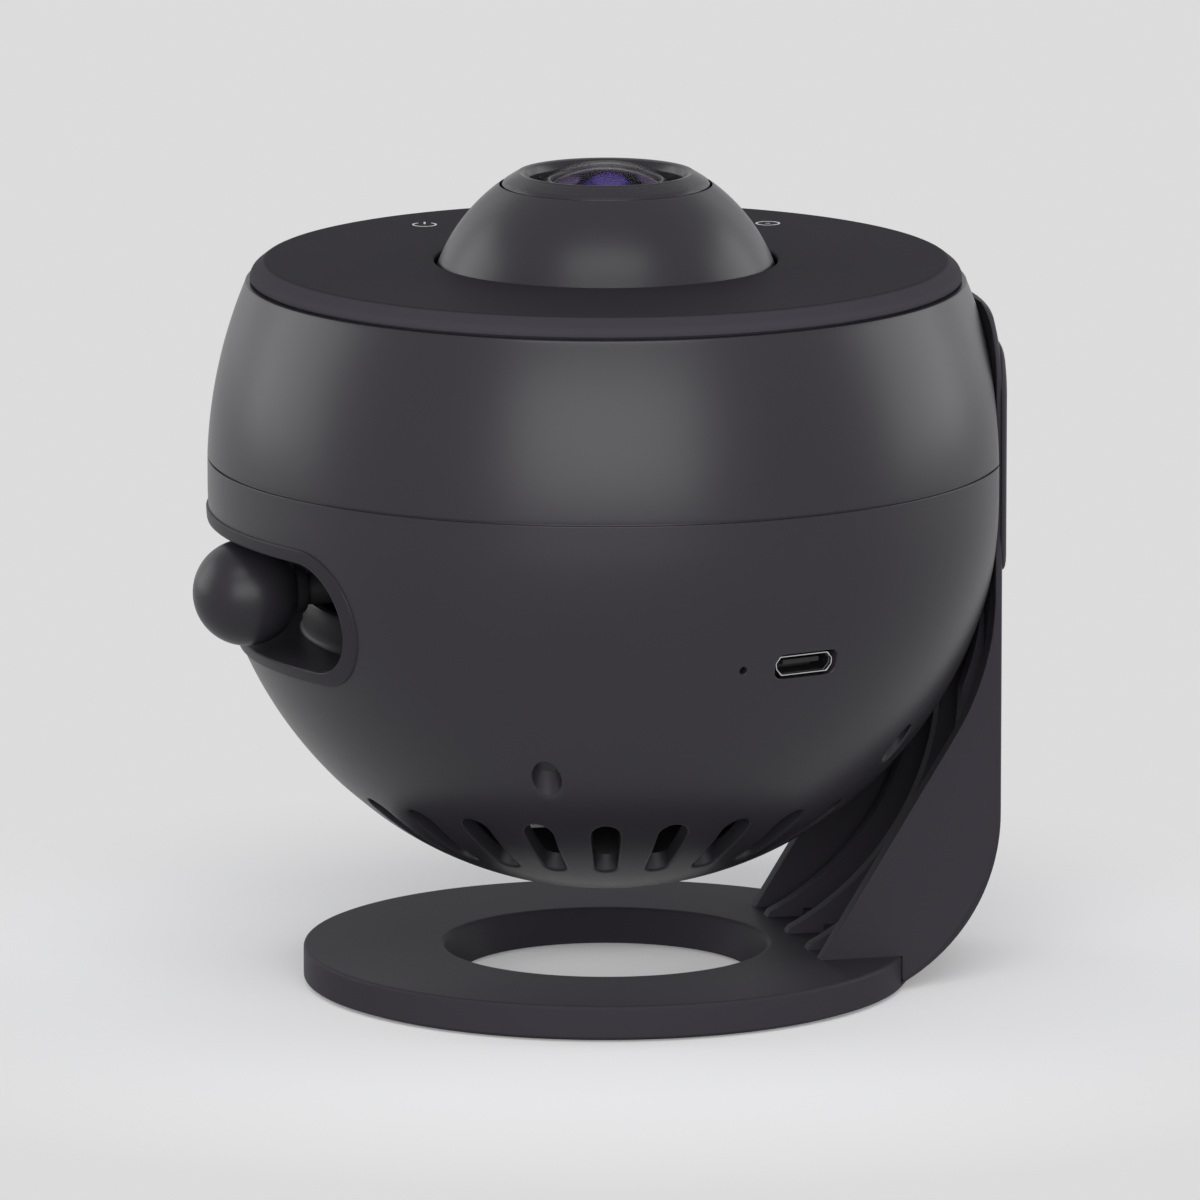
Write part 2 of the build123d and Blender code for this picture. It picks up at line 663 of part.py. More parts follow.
# ---- base and arm ----
def base_ring():
    ring = turned(
        (BASE_HOLE_LOW, PAD_H),
        (BASE_R - 0.5, PAD_H),
        (BASE_R, PAD_H + 0.5),
        (BASE_R, BASE_H - 0.5),
        (BASE_R - 0.15, BASE_H - 0.15),
        (BASE_R - 0.5, BASE_H),
        (BASE_HOLE_TOP + 0.5, BASE_H),
        (BASE_HOLE_TOP + 0.1, BASE_H - 0.15),
        (BASE_HOLE_TOP - 0.1, BASE_H - 0.6),
    )
    ring = ring - tube(34.8, 37.0, 0, 1.4)
    for x, y in ARM_SCREWS:
        ring = ring - Pos(x, y, 0) * rod(2.15, 0, 2.0) - Pos(x, y, 0) * rod(1.3, 0, 6)
    return ring


def foot_pad():
    return tube(34.8, 37.0, 0, 1.4)


def arm_screws():
    screws = [Pos(x, y, 0) * (rod(2.05, 0.7, 2.0) + rod(1.0, 2.0, 7.0)) for x, y in ARM_SCREWS]
    return Compound(children=screws)


def arm_form(inset):
    """The arm's outer surface turned about Z: round heel, upright wall, leaning shoulder, top."""
    heel_r = FOOT_R - inset
    turn = radians(SHOULDER_DEG)
    cap_z = ARM_TOP - CAP_R
    shoulder_z = cap_z - (SHOULDER_R - CAP_R) * sin(turn)
    cap_x = ARM_R - SHOULDER_R + (SHOULDER_R - CAP_R) * cos(turn)
    heel = CenterArc((ARM_R - FOOT_R, FOOT_Z), heel_r, -90, 90)
    shoulder = CenterArc((ARM_R - SHOULDER_R, shoulder_z), SHOULDER_R - inset, 0, SHOULDER_DEG)
    cap = CenterArc((cap_x, cap_z), CAP_R - inset, SHOULDER_DEG, 90 - SHOULDER_DEG)
    wall = Line(heel @ 1, shoulder @ 0)
    lid = Line(cap @ 1, (0, ARM_TOP - inset))
    axis = Line((0, ARM_TOP - inset), (0, FOOT_Z - heel_r))
    floor = Line((0, FOOT_Z - heel_r), heel @ 0)
    return revolve(Plane.XZ * make_face(heel + wall + shoulder + cap + lid + axis + floor), Axis.Z)


def arm_side():
    """Side view of the arm, from its heel on the base to the flat that faces the head."""
    bend_r, bend_z, lean = 34.0, 50.5, 32.0
    bend = CenterArc((ARM_FACE_X - bend_r, bend_z), bend_r, -lean, lean)
    foot_x = (bend @ 0).X - ((bend @ 0).Y - BASE_H) / cos(radians(lean)) * sin(radians(lean))
    edge = Line((foot_x, BASE_H), bend @ 0)
    back = Polyline(bend @ 1, (ARM_FACE_X, 95), (60, 95), (60, -2), (foot_x, -2), (foot_x, BASE_H))
    side = make_face(edge + bend + back)
    return extrude(Plane.XZ * side, ARM_HALF, both=True)


def stand_arm():
    front = Plane.YZ * Pos(0, ARM_TOP - 60) * RectangleRounded(2 * ARM_HALF, 120, ARM_CORNER)
    arm = arm_form(0) & arm_side() & extrude(front, 70)
    half = ARM_HALF - ARM_SKIN
    room = block(0, 60, -half, half, FOOT_FLOOR, 52.0) + block(0, FOOT_FRONT, -half, half, 2, 8)
    hollow = arm_form(ARM_SKIN) & room
    keep_out = Pos(RIB_X, 0, RIB_Z) * Rot(90, 0, 0) * Cylinder(RIB_R, 80)
    for y in RIB_Y:
        hollow = hollow - (block(0, 60, y - RIB_T / 2, y + RIB_T / 2, 0, 60) - keep_out)
    for x, y in ARM_SCREWS:
        hollow = hollow - Pos(x, y, 0) * rod(2.0, 0, SCREW_BOSS_TOP)
    arm = arm - hollow
    swing = Pos(0, 0, SEAM_Z) * Sphere(54.2) & block(-BIG, ARM_FACE_X, -BIG, BIG, -BIG, BIG)
    arm = arm - swing - rod(BASE_R + 0.05, -5, BASE_H)
    for x, y in ARM_SCREWS:
        arm = arm - Pos(x, y, 0) * rod(1.0, 0, SCREW_BOSS_TOP - 0.3)
    arm = arm - axle(SHAFT_R, 40, 60) - axle(8.05, 47.6, 60)
    for y, z in pivot_screw_places():
        arm = arm - axle(0.8, 45, 50, y, z)
    return arm


def hinge_cover():
    """Thin curved plate over the hinge, on the arm's outside."""
    middle, height = (HINGE_COVER_LOW + HINGE_COVER_TOP) / 2, HINGE_COVER_TOP - HINGE_COVER_LOW
    plate = arm_form(-COVER_SKIN) - arm_form(-0.01)
    front = Plane.YZ * Pos(0, middle) * RectangleRounded(2 * ARM_HALF - 1.2, height, 6.0)
    return plate & extrude(front, 70)


def shell_screws():
    """Four long screws that pull the shells together."""
    screws = []
    for angle in WELL_ANGLES:
        place = Rot(0, 0, angle) * Pos(WELL_R, 0, 0)
        screws.append(place * (rod(1.7, 46.6, 48.0) + rod(1.0, 48.0, 62.0)))
    return Compound(children=screws)


NODES = {
    "base_ring": base_ring,
    "foot_pad": foot_pad,
    "stand_arm": stand_arm,
    "arm_screws": arm_screws,
    "hinge_cover": hinge_cover,
    "pivot_shaft": pivot_shaft,
    "pivot_screws": pivot_screws,
    "friction_washer": friction_washer,
    "spring_washer": spring_washer,
    "pivot_nut": pivot_nut,
    "lower_shell": lower_shell,
    "upper_shell": upper_shell,
    "top_cover": top_cover,
    "hub_plate": hub_plate,
    "hub_screws": hub_screws,
    "lever_recess": lever_recess,
    "dome": dome,
    "guide_tube": guide_tube,
    "guide_screws": guide_screws,
    "cam_retainer": cam_retainer,
    "heat_sink": heat_sink,
    "led_module": led_module,
    "lamp_housing": lamp_housing,
    "lamp_screws": lamp_screws,
    "condenser_lens": condenser_lens,
    "motor": motor,
    "main_board": main_board,
    "board_screws": board_screws,
    "inlet_socket": inlet_socket,
    "touch_board": touch_board,
    "cam_ring": cam_ring,
    "lever_arm": lever_arm,
    "lever_screws": lever_screws,
    "lever_knob": lever_knob,
    "lens_barrel": lens_barrel,
    "lens_bezel": lens_bezel,
    "front_lens": front_lens,
    "rear_lens": rear_lens,
    "cam_pins": cam_pins,
    "disc_carrier": disc_carrier,
    "film_disc": film_disc,
    "motor_pinion": motor_pinion,
    "shell_screws": shell_screws,
}


def main():
    os.makedirs("parts", exist_ok=True)
    for name, make in NODES.items():
        export_step(make(), "parts/" + name + ".step")


main()
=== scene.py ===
import math

import bmesh
import bpy
import numpy as np
from bpy.props import FloatProperty, FloatVectorProperty, IntProperty, PointerProperty
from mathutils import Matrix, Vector


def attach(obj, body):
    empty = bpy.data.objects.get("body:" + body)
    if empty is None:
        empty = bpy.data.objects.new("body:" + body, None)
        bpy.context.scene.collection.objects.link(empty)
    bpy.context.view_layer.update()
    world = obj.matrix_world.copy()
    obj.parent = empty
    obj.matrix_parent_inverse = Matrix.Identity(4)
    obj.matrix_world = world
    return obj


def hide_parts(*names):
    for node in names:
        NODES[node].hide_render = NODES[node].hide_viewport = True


bl_info = {
    "name": "Star projector dressing",
    "version": (1, 0, 0),
    "blender": (4, 5, 0),
    "location": "3D View > Sidebar > Projector",
    "description": "Makes the visible surfaces and finishes of a small tilting star projector",
    "category": "Add Mesh",
}

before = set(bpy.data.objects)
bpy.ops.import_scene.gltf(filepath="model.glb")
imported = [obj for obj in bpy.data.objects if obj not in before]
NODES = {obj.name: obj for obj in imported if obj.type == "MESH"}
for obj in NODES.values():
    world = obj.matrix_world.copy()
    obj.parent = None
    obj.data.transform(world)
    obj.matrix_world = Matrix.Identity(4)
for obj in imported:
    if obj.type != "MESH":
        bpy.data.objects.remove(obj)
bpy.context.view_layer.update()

MM = 0.001
TURN = 2 * math.pi

# Direction of the front: the camera stands in it and the printed marks face it
FRONT_TURN = math.radians(-14.0)

# Profile of the head, in millimetres, as the solids have it
HEAD_R, SEAM_Z, LIP_Z = 50.1, 67.6, 89.6
FLANK_R, FLANK_Z, FLANK_TURN = 52.24, 64.15, math.radians(57.5)
CROWN_R, CROWN_LEAN = 62.0, math.radians(2.11)
WALL = 2.0
FACET_X, FACET_WALL = 45.8, 2.2
FLOOR_R = (HEAD_R - FLANK_R + FLANK_R * math.cos(FLANK_TURN)) / math.cos(FLANK_TURN)
FLOOR_Z = FLANK_Z - FLANK_R * math.sin(FLANK_TURN) + FLOOR_R * math.sin(FLANK_TURN)

# Lever recess
LEVER_Z, LEVER_TURN = 52.3, math.radians(183.3)
SLOT_SWEEP, RIM_SWEEP = math.radians(25.5), math.radians(26.2)
KNOB_R, KNOB_REACH, NECK_R, NECK_REACH = 6.7, 47.1, 3.0, 7.4
RIM_H, MOUTH_H, RIM_PROUD = 8.9, 7.1, 0.3
TUB_R, TUB_WALL = 37.0, 1.2

# Power inlet: direction and height, half width and half height of the bowl's opening, the metal
# shell's depths from the head's axis, and the tongue's half width, height off the middle and thickness
INLET_TURN, INLET_Z, INLET_HALF, INLET_CORNER = math.radians(287.4), 48.3, (4.45, 1.62), 1.1
INLET_BACK, INLET_FACE = 41.2, 46.88
TONGUE_HALF, TONGUE_RISE, TONGUE_THICK = 2.6, 0.3, 0.56

# Vents, screw wells, the small round hole beside the inlet, and half the height of the opening that
# the lever recess sits in
VENT_NARROW_R, VENT_WIDE_R = 1.4, 1.85
WELL_TURNS, WELL_PLACE, WELL_R, WELL_END = (39.0, 114.5, 245.5, 321.0), 40.0, 1.8, 48.0
PIN_TURN, PIN_R, PIN_DEPTH = math.radians(276.8), 0.5, 1.6
RECESS_HALF = 8.55

# Blocks of the bowl's grid that make room for holes, in degrees: half width, lowest and highest station
VENT_BLOCK, WELL_BLOCK = (4.9, -63.6, -42.7), (4.4, -41.3, -28.0)
INLET_BLOCK, PIN_BLOCK, RECESS_BLOCK = (6.6, -21.5, -13.5), (1.6, -20.5, -15.2), (40.5, -25.0, -1.4)
INLET_BLOCK_TURN = math.radians(287.6)

# Top cover: upper face, radius, where its chamfer starts, middle hole, and where it meets the dome
COVER_TOP, COVER_R, CHAMFER_R, COVER_HOLE_R, DOME_FOOT_Z = 92.2, 44.7, 42.9, 21.55, 89.9

# Printed marks: ring radius, stroke width, lower and upper face, and each one's direction and radius
MARK_R, MARK_STROKE, MARK_LOW, MARK_HIGH = 1.45, 0.26, 92.19, 92.215
POWER_PLACE, DOT_PLACE = (117.5, 34.8), (38.7, 34.0)

# Lens: both glasses are caps cut from balls of one radius. Each has the height of its ball's middle
# and the radius of its edge, then the front one its thickness and the coated one its flat foot
LENS_R, FRONT_Z, FRONT_EDGE_R, FRONT_THICK = 15.0, 89.5, 9.6, 0.25
COATED_Z, COATED_EDGE_R, COATED_FOOT = 88.6, 6.96, 100.6

# Painted reflections on the coating, as patches: centre x, y and radius in mm, and three factors on its
# violet. They are measured from points at one height, and their edges fade by so much of their strength per
# metre
REFLECTION_PATCH_Z, REFLECTION_PATCH_FADE = 103.3, 1800.0
LENS_REFLECTION_PATCHES = (
    (-5.66, -1.88, 2.2, (1.15, 1.2, 0.6)),
    (5.33, -3.61, 2.4, (1.15, 1.25, 0.6)),
    (-1.36, -5.97, 3.6, (0.45, 0.45, 0.5)),
    (-0.57, -4.12, 2.4, (0.9, 0.9, 0.9)),
)

# Lens housing
DOME_R, DOME_Z, DOME_WALL, BARREL_R, BEZEL_INNER_R = 22.7, 83.4, 1.8, 13.05, 9.75

# Camera: elevation, distance and lens, and its aim's height and shift to the left. Its azimuth is
# FRONT_TURN
CAMERA_RISE, CAMERA_AWAY, CAMERA_LENS, SENSOR = math.radians(10.9), 1.890, 450.0, 36.0
AIM_HEIGHT, AIM_LEFT, LAMP_AIM_HEIGHT = 0.0486, 0.00074, 0.06

# Soft boxes: name, azimuth from the camera's and elevation in degrees, distance, size, watts
LAMPS = (
    ("front_wide", 0.0, 13.0, 1.5, (1.5, 1.0), 25.0),
    ("front_high", 0.0, 52.0, 1.5, (1.35, 0.5), 9.0),
    ("left_rear", -108.0, 12.0, 1.5, (1.0, 1.2), 11.5),
    ("right_rear", 108.0, 12.0, 1.5, (1.0, 1.2), 11.5),
    ("left_rim", -140.0, 15.0, 1.5, (0.7, 1.2), 1.5),
    ("right_rim", 140.0, 15.0, 1.5, (0.7, 1.2), 1.5),
)
WORLD_TINT, WORLD_LIGHT = (0.97, 0.98, 1.0), 0.35

# Floor: half its side, how far out it takes the object's shadow and how fast that fades per metre,
# the part of its colour that is lit, how bright the lamps make it, and its colour to bounced light
FLOOR_HALF, FLOOR_NEAR, FLOOR_FADE = 6.0, 0.12, 20.0
FLOOR_LIT, FLOOR_LIGHT, FLOOR_BOUNCE = 0.8, 0.925, (0.68, 0.68, 0.68)

# Arm: outside, skin and its round heel and top, then the shoulder, the inner edge, the room between
# its side walls and the ribs. Base: ring, hole, foot pad. Plate over the hinge: height, corners, roll
ARM_R, ARM_HALF, ARM_TOP, ARM_FACE_X = 49.9, 17.5, 86.4, 46.1
ARM_SKIN, HEEL_R, HEEL_Z, CAP_R, CORNER_R = 2.2, 24.0, 21.5, 2.5, 9.0
SHOULDER_R, SHOULDER_TURN = 40.0, math.radians(14.0)
CAP_X = ARM_R - SHOULDER_R + (SHOULDER_R - CAP_R) * math.cos(SHOULDER_TURN)
SHOULDER_Z = ARM_TOP - CAP_R - (SHOULDER_R - CAP_R) * math.sin(SHOULDER_TURN)
BEND_R, BEND_Z, LEAN = 34.0, 50.5, math.radians(32.0)
BASE_R, BASE_H = 38.25, 4.6
FOOT_FRONT, FOOT_FLOOR, ROOM_TOP = 28.2, 5.6, 52.0
RIB_Y, RIB_T = (-10.2, 0.0, 10.2), 2.4
RIB_X, RIB_Z, RIB_R = 8.0, 37.0, 35.5
BASE_HOLE_R, BASE_HOLE_TOP_R, BASE_UNDER = 18.3, 20.6, 0.4
PAD_IN, PAD_OUT, PAD_H = 34.8, 37.0, 1.4
PLATE_LOW, PLATE_HIGH, PLATE_CORNER, PLATE_ROLL = 52.4, 81.0, 6.0, 1.6

# The arm is cut round the base with 0.05 mm of room
NOTCH_R = BASE_R + 0.05


# ---------------------------------------------------------------- settings
class HeadSizes(bpy.types.PropertyGroup):
    """Sizes of the head: its grid, its vents and the rims of its holes"""

    columns: IntProperty(name="Columns", description="Grid columns round the head", default=288, min=96)
    vent_count: IntProperty(name="Vents", description="Vent slots round the bowl", default=24, min=4)
    vent_outer: FloatProperty(
        name="Vent outer radius",
        description="Centre radius of each vent's wide end",
        default=0.0321, unit="LENGTH",
    )
    vent_inner: FloatProperty(
        name="Vent inner radius",
        description="Centre radius of each vent's narrow end",
        default=0.0246, unit="LENGTH",
    )
    edge: FloatProperty(
        name="Edge radius",
        description="Small radius on the rims of holes and slots",
        default=0.00035, unit="LENGTH",
    )


class StandSizes(bpy.types.PropertyGroup):
    """Sizes of the stand: the arm's edge and the hinge cover"""

    edge: FloatProperty(
        name="Arm edge radius",
        description="Radius on the arm's long outer edges",
        default=0.0009, unit="LENGTH",
    )
    cover_rise: FloatProperty(
        name="Hinge cover rise",
        description="How far the hinge cover stands out from the arm",
        default=0.0005, unit="LENGTH",
    )


class Finishes(bpy.types.PropertyGroup):
    """Colours that the finishes start from"""

    body: FloatVectorProperty(
        name="Body", description="Matte moulded plastic of the head", subtype="COLOR",
        default=(0.0190, 0.0174, 0.0212), min=0, max=1,
    )
    # Violet of the painted reflections on the coated lens; the coating itself is dark
    glass: FloatVectorProperty(
        name="Lens coating", description="Tint of the coated lens", subtype="COLOR",
        default=(0.118, 0.095, 0.265), min=0, max=1,
    )
    ink: FloatVectorProperty(
        name="Marks", description="Printed marks on the cover", subtype="COLOR",
        default=(0.5, 0.5, 0.52), min=0, max=1,
    )
    floor: FloatVectorProperty(
        name="Floor", description="Plain pale floor", subtype="COLOR",
        default=(0.716, 0.716, 0.722), min=0, max=1,
    )


# ---------------------------------------------------------------- surfaces
def length(v):
    """Length of each vector: the root of its squares' sum."""
    return np.sqrt((v * v).sum(-1, keepdims=True))


def rounded(corners, reach, steps=6):
    """Outline with soft corners: each corner becomes a quadratic curve that starts and ends
    one reach along its two edges. Works on (..., corner, 2) arrays in one go."""
    c = np.asarray(corners, float)
    back, on = np.roll(c, 1, -2) - c, np.roll(c, -1, -2) - c
    lb, lo = length(back), length(on)
    r = np.broadcast_to(np.asarray(reach, float), c.shape[:-1])[..., None]
    r = np.minimum(r, 0.49 * np.minimum(lb, lo))
    a, b = c + back / np.maximum(lb, 1e-9) * r, c + on / np.maximum(lo, 1e-9) * r
    t = np.linspace(0, 1, steps)[:, None]
    p = (1 - t) ** 2 * a[..., None, :] + 2 * t * (1 - t) * c[..., None, :] + t ** 2 * b[..., None, :]
    return p.reshape(*c.shape[:-2], -1, 2)


def arc(cx, cy, r, start, end, steps):
    """Points on a circle from one angle to another, in radians."""
    t = np.linspace(start, end, steps)
    return np.stack([cx + r * np.cos(t), cy + r * np.sin(t)], -1)


def turned(profile, segments=256):
    """Grid of a profile of (r, z) points turned about Z: x = r cos t, y = r sin t."""
    t = np.arange(segments) * TURN / segments
    r, z = profile[:, 0], profile[:, 1]
    x, y = np.cos(t)[:, None] * r, np.sin(t)[:, None] * r
    return np.stack([x, y, np.broadcast_to(z, x.shape)], -1)


def turned_about(x, y, angle):
    """x and y turned about Z: x cos a - y sin a, x sin a + y cos a."""
    c, s = math.cos(angle), math.sin(angle)
    return x * c - y * s, x * s + y * c


def facing(azimuth, elevation):
    """Direction by azimuth from -Y and elevation: (sin a cos e, -cos a cos e, sin e)."""
    level = math.cos(elevation)
    return Vector((math.sin(azimuth) * level, -math.cos(azimuth) * level, math.sin(elevation)))


def grid_faces(nu, nv, wrap_u, wrap_v, base=0):
    """Quads of a grid, joined round where a direction wraps."""
    i = base + np.arange(nu * nv).reshape(nu, nv)
    i = np.concatenate([i, i[:1]], 0) if wrap_u else i
    i = np.concatenate([i, i[:, :1]], 1) if wrap_v else i
    return np.stack([i[:-1, :-1], i[1:, :-1], i[1:, 1:], i[:-1, 1:]], -1).reshape(-1, 4)


def build(name, verts, faces):
    """Object from points in millimetres: doubles are merged, faces turned outwards,
    and edges sharper than 38 degrees kept crisp."""
    merge, crisp = 2e-6, math.radians(38.0)
    mesh = bpy.data.meshes.new(name)
    mesh.from_pydata((np.asarray(verts) * MM).tolist(), [], [list(map(int, f)) for f in faces])
    bm = bmesh.new()
    bm.from_mesh(mesh)
    bmesh.ops.remove_doubles(bm, verts=bm.verts, dist=merge)
    bmesh.ops.dissolve_degenerate(bm, edges=bm.edges, dist=merge)
    bmesh.ops.recalc_face_normals(bm, faces=bm.faces)
    bm.to_mesh(mesh)
    bm.free()
    mesh.shade_smooth()
    mesh.set_sharp_from_angle(angle=crisp)
    mesh.update()
    obj = bpy.data.objects.new(name, mesh)
    bpy.context.scene.collection.objects.link(obj)
    weigh = obj.modifiers.new("WeightedNormal", "WEIGHTED_NORMAL")
    weigh.keep_sharp = True
    return obj


def build_grids(name, grids):
    """Object from several grids, each (points[u, v, 3], wrap_u, wrap_v)."""
    verts, faces, base = [], [], 0
    for points, wrap_u, wrap_v in grids:
        nu, nv = points.shape[:2]
        verts.append(points.reshape(-1, 3))
        faces.append(grid_faces(nu, nv, wrap_u, wrap_v, base))
        base += nu * nv
    return build(name, np.concatenate(verts), np.concatenate(faces))


def build_bars(name, bars):
    """Object from bars, each a grid of closed sections, points[row, around, 3], whose first and
    last sections are filled."""
    verts, faces, base = [], [], 0
    for points in bars:
        rows, around = points.shape[:2]
        verts.append(points.reshape(-1, 3))
        faces += grid_faces(rows, around, False, True, base).tolist()
        last = base + (rows - 1) * around
        faces += [list(range(base, base + around)), list(range(last, last + around))[::-1]]
        base += rows * around
    return build(name, np.concatenate(verts), faces)


def stroke(path, width, low, high):
    """Flat printed stroke: a path of (x, y) points, widened by half the width to each side."""
    path = np.asarray(path, float)
    along = np.gradient(path, axis=0)
    side = np.stack([-along[:, 1], along[:, 0]], -1) / length(along) * width / 2
    ways = [(path - side, low), (path - side, high), (path + side, high), (path + side, low)]
    return np.stack([np.column_stack([xy, np.full(len(xy), z)]) for xy, z in ways], 1)


def turned_piece(name, profile, segments=256):
    """Closed ring or cap: a closed profile wraps both ways, and one that starts and ends on
    the axis closes at its poles."""
    closed = profile[0, 0] > 1e-6 or profile[-1, 0] > 1e-6
    return build_grids(name, [(turned(profile, segments), True, closed)])


def place(piece, body, material, *nodes, slot="shell_plastic"):
    """Gives a piece its finish and lets it ride with a body, in place of the named nodes."""
    piece.data.materials.clear()
    piece.data.materials.append(material)
    if nodes:
        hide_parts(*nodes)
    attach(piece, body)
    return piece


def profile_z(r, inset):
    """Height of the bowl under a radius: floor arc inside the tangent point, flank outside."""
    r = np.asarray(r, float)
    split = (FLOOR_R - inset) * math.cos(FLANK_TURN)
    floor = FLOOR_Z - np.sqrt(np.maximum((FLOOR_R - inset) ** 2 - r ** 2, 0))
    side = r - (HEAD_R - FLANK_R)
    flank = FLANK_Z - np.sqrt(np.maximum((FLANK_R - inset) ** 2 - side ** 2, 0))
    return np.where(r < split, floor, flank)


def crown_arc(inset):
    """Radius and centre of the crown's arc, which leans in a little from the seam."""
    radius = CROWN_R - inset
    return radius, HEAD_R - inset - radius * math.cos(CROWN_LEAN), SEAM_Z - radius * math.sin(CROWN_LEAN)


def profile_r(z, inset):
    """Radius of the head at a height: flank arc, upright waist, crown arc."""
    z = np.asarray(z, float)
    low = np.maximum(FLANK_Z - z, 0)
    flank = HEAD_R - FLANK_R + np.sqrt(np.maximum((FLANK_R - inset) ** 2 - low ** 2, 0))
    radius, x, centre = crown_arc(inset)
    crown = x + np.sqrt(np.maximum(radius ** 2 - (np.maximum(z, SEAM_Z) - centre) ** 2, 0))
    return np.where(z < FLANK_Z, flank, crown)


def flatten_facet(points, plane, blend=0.5):
    """Smooth minimum of x and the facet's plane, so the flat meets the bowl in a soft edge."""
    x = points[..., 0]
    h = np.clip(0.5 + 0.5 * (plane - x) / blend, 0, 1)
    points = points.copy()
    points[..., 0] = plane * (1 - h) + x * h - blend * h * (1 - h)
    return points


# ---------------------------------------------------------------- holes in the bowl
class Hole:
    """A hole through a turned wall. side holes are cut towards the axis and use
    (arc length, height) as local coordinates, plan holes are cut upwards and use (r, tangent)."""

    def __init__(self, turn, centre, distance, side, edge=0.35):
        self.turn, self.centre, self.distance = turn, centre, distance
        self.side, self.edge = side, edge
        self.gauge = float(profile_r(centre, 0)) if side else 1.0

    def local(self, p):
        """Local coordinates of points: arc length and height, or (r cos t, r sin t) from the centre."""
        turn = np.arctan2(p[:, 1], p[:, 0]) - self.turn
        turn = (turn + math.pi) % TURN - math.pi
        if self.side:
            return np.stack([turn * self.gauge, p[:, 2] - self.centre], -1)
        r = np.hypot(p[:, 0], p[:, 1])
        return np.stack([r * np.cos(turn) - self.centre, r * np.sin(turn)], -1)

    def on_wall(self, uv, inset, depth=0.0):
        """Point of the wall under local coordinates, moved along the cut by a depth."""
        if self.side:
            turn = self.turn + uv[:, 0] / self.gauge
            z = uv[:, 1] + self.centre
            r = profile_r(z, inset) - depth
            return np.stack([r * np.cos(turn), r * np.sin(turn), z], -1)
        x, y = uv[:, 0] + self.centre, uv[:, 1]
        r, turn = np.hypot(x, y), np.arctan2(y, x) + self.turn
        return np.stack([r * np.cos(turn), r * np.sin(turn), profile_z(r, inset) + depth], -1)

    def reach(self, ways, level):
        """Distance along each way at which the outline, grown by a level, is met:
        found by halving, since the outlines are convex."""
        low, high = np.zeros(len(ways)), np.full(len(ways), 60.0)
        for _ in range(40):
            mid = (low + high) / 2
            inside = self.distance(ways * mid[:, None]) < level
            low, high = np.where(inside, mid, low), np.where(inside, high, mid)
        return mid


def slot_distance(length_half, r_low, r_high):
    """Signed distance to a tapered slot along u: the hull of two circles."""
    slope = (r_low - r_high) / (2 * length_half)
    side = math.sqrt(1 - slope * slope)

    def distance(uv):
        u, v = uv[:, 0] + length_half, np.abs(uv[:, 1])
        k = np.clip(u - v * slope / side, 0, 2 * length_half)
        return np.hypot(u - k, v) - r_low - (r_high - r_low) * k / (2 * length_half)

    return distance


def plate_distance(half_u, half_v, radius):
    """Signed distance to a rectangle with round corners."""

    def distance(uv):
        q = np.abs(uv) - np.array([half_u - radius, half_v - radius])
        return np.hypot(*np.maximum(q, 0).T) + np.minimum(q.max(-1), 0) - radius

    return distance


def disc_distance(radius):
    """Signed distance to a circle."""
    return lambda uv: np.hypot(uv[:, 0], uv[:, 1]) - radius


class Wall:
    """Grid of a turned wall with blocks of cells left out for holes."""

    def __init__(self):
        self.verts, self.faces, self.fans, self.count = [], [], [], 0

    def add(self, points):
        """Takes in points and gives back their numbers."""
        self.verts.append(points)
        self.count += len(points)
        return np.arange(self.count - len(points), self.count)

    def strip(self, a, b):
        """Quads between two closed loops of equal length."""
        quads = np.stack([a, np.roll(a, -1), np.roll(b, -1), b], -1)
        self.faces.append(quads)

    def skin(self, stations, turns, holes, inset, lay):
        """The grid itself; holes get rings that run from their block's border to their rim.
        Returns the last loop of each hole."""
        points = lay(stations, turns)
        rows, columns = points.shape[:2]
        index = self.add(points.reshape(-1, 3)).reshape(rows, columns)
        quads = grid_faces(rows, columns, False, True).reshape(rows - 1, columns, 4) + index[0, 0]
        keep = np.ones((rows - 1, columns), bool)
        ends = []
        for hole, (j0, j1, i0, i1) in holes:
            across = np.arange(i0, i1) % columns
            keep[j0:j1, across] = False
            ring = np.concatenate([
                index[j0, np.arange(i0, i1) % columns],
                index[j0:j1, i1 % columns],
                index[j1, np.arange(i1, i0, -1) % columns],
                index[j1:j0:-1, i0 % columns],
            ])
            ends.append(self.rim(hole, ring, points.reshape(-1, 3)[ring - index[0, 0]], inset))
        self.faces.append(quads[keep].reshape(-1, 4))
        return index, ends

    def rim(self, hole, ring, border, inset):
        """Rings from a block's border to a hole's outline, along rays from the hole's centre, and on
        the outside a quarter round: edge (1 - sin t) out and edge (1 - cos t) deep."""
        uv = hole.local(border)
        far = np.hypot(*uv.T)
        ways = uv / far[:, None]
        edge = hole.edge if inset == 0 else 0.0
        near = hole.reach(ways, edge)
        loop = ring
        for k in np.linspace(0, 1, 6)[1:]:
            at = ways * (far + (near - far) * k)[:, None]
            new = self.add(hole.on_wall(at, inset))
            self.strip(loop, new)
            loop = new
        if edge:
            for turn in np.linspace(0, math.pi / 2, 5)[1:]:
                at = ways * hole.reach(ways, edge * (1 - math.sin(turn)))[:, None]
                new = self.add(hole.on_wall(at, inset, edge * (1 - math.cos(turn))))
                self.strip(loop, new)
                loop = new
        return loop, ways

    def pocket(self, hole, loop, ways, depth=0.0, level=None):
        """Closes a hole that doesn't go through: straight sides, and an end at a depth or a height."""
        wall = hole.on_wall(ways * hole.reach(ways, 0.0)[:, None], 0, depth)
        if level is not None:
            wall[:, 2] = level
        end = self.add(wall)
        self.strip(loop, end)
        middle = self.add(wall.mean(0, keepdims=True))
        self.fans.append(np.stack([end, np.roll(end, -1), np.broadcast_to(middle, end.shape)], -1))

    def object(self, name):
        """Object from all that was added."""
        faces = [list(f) for part in (*self.faces, *self.fans) for f in part]
        return build(name, np.concatenate(self.verts), faces)


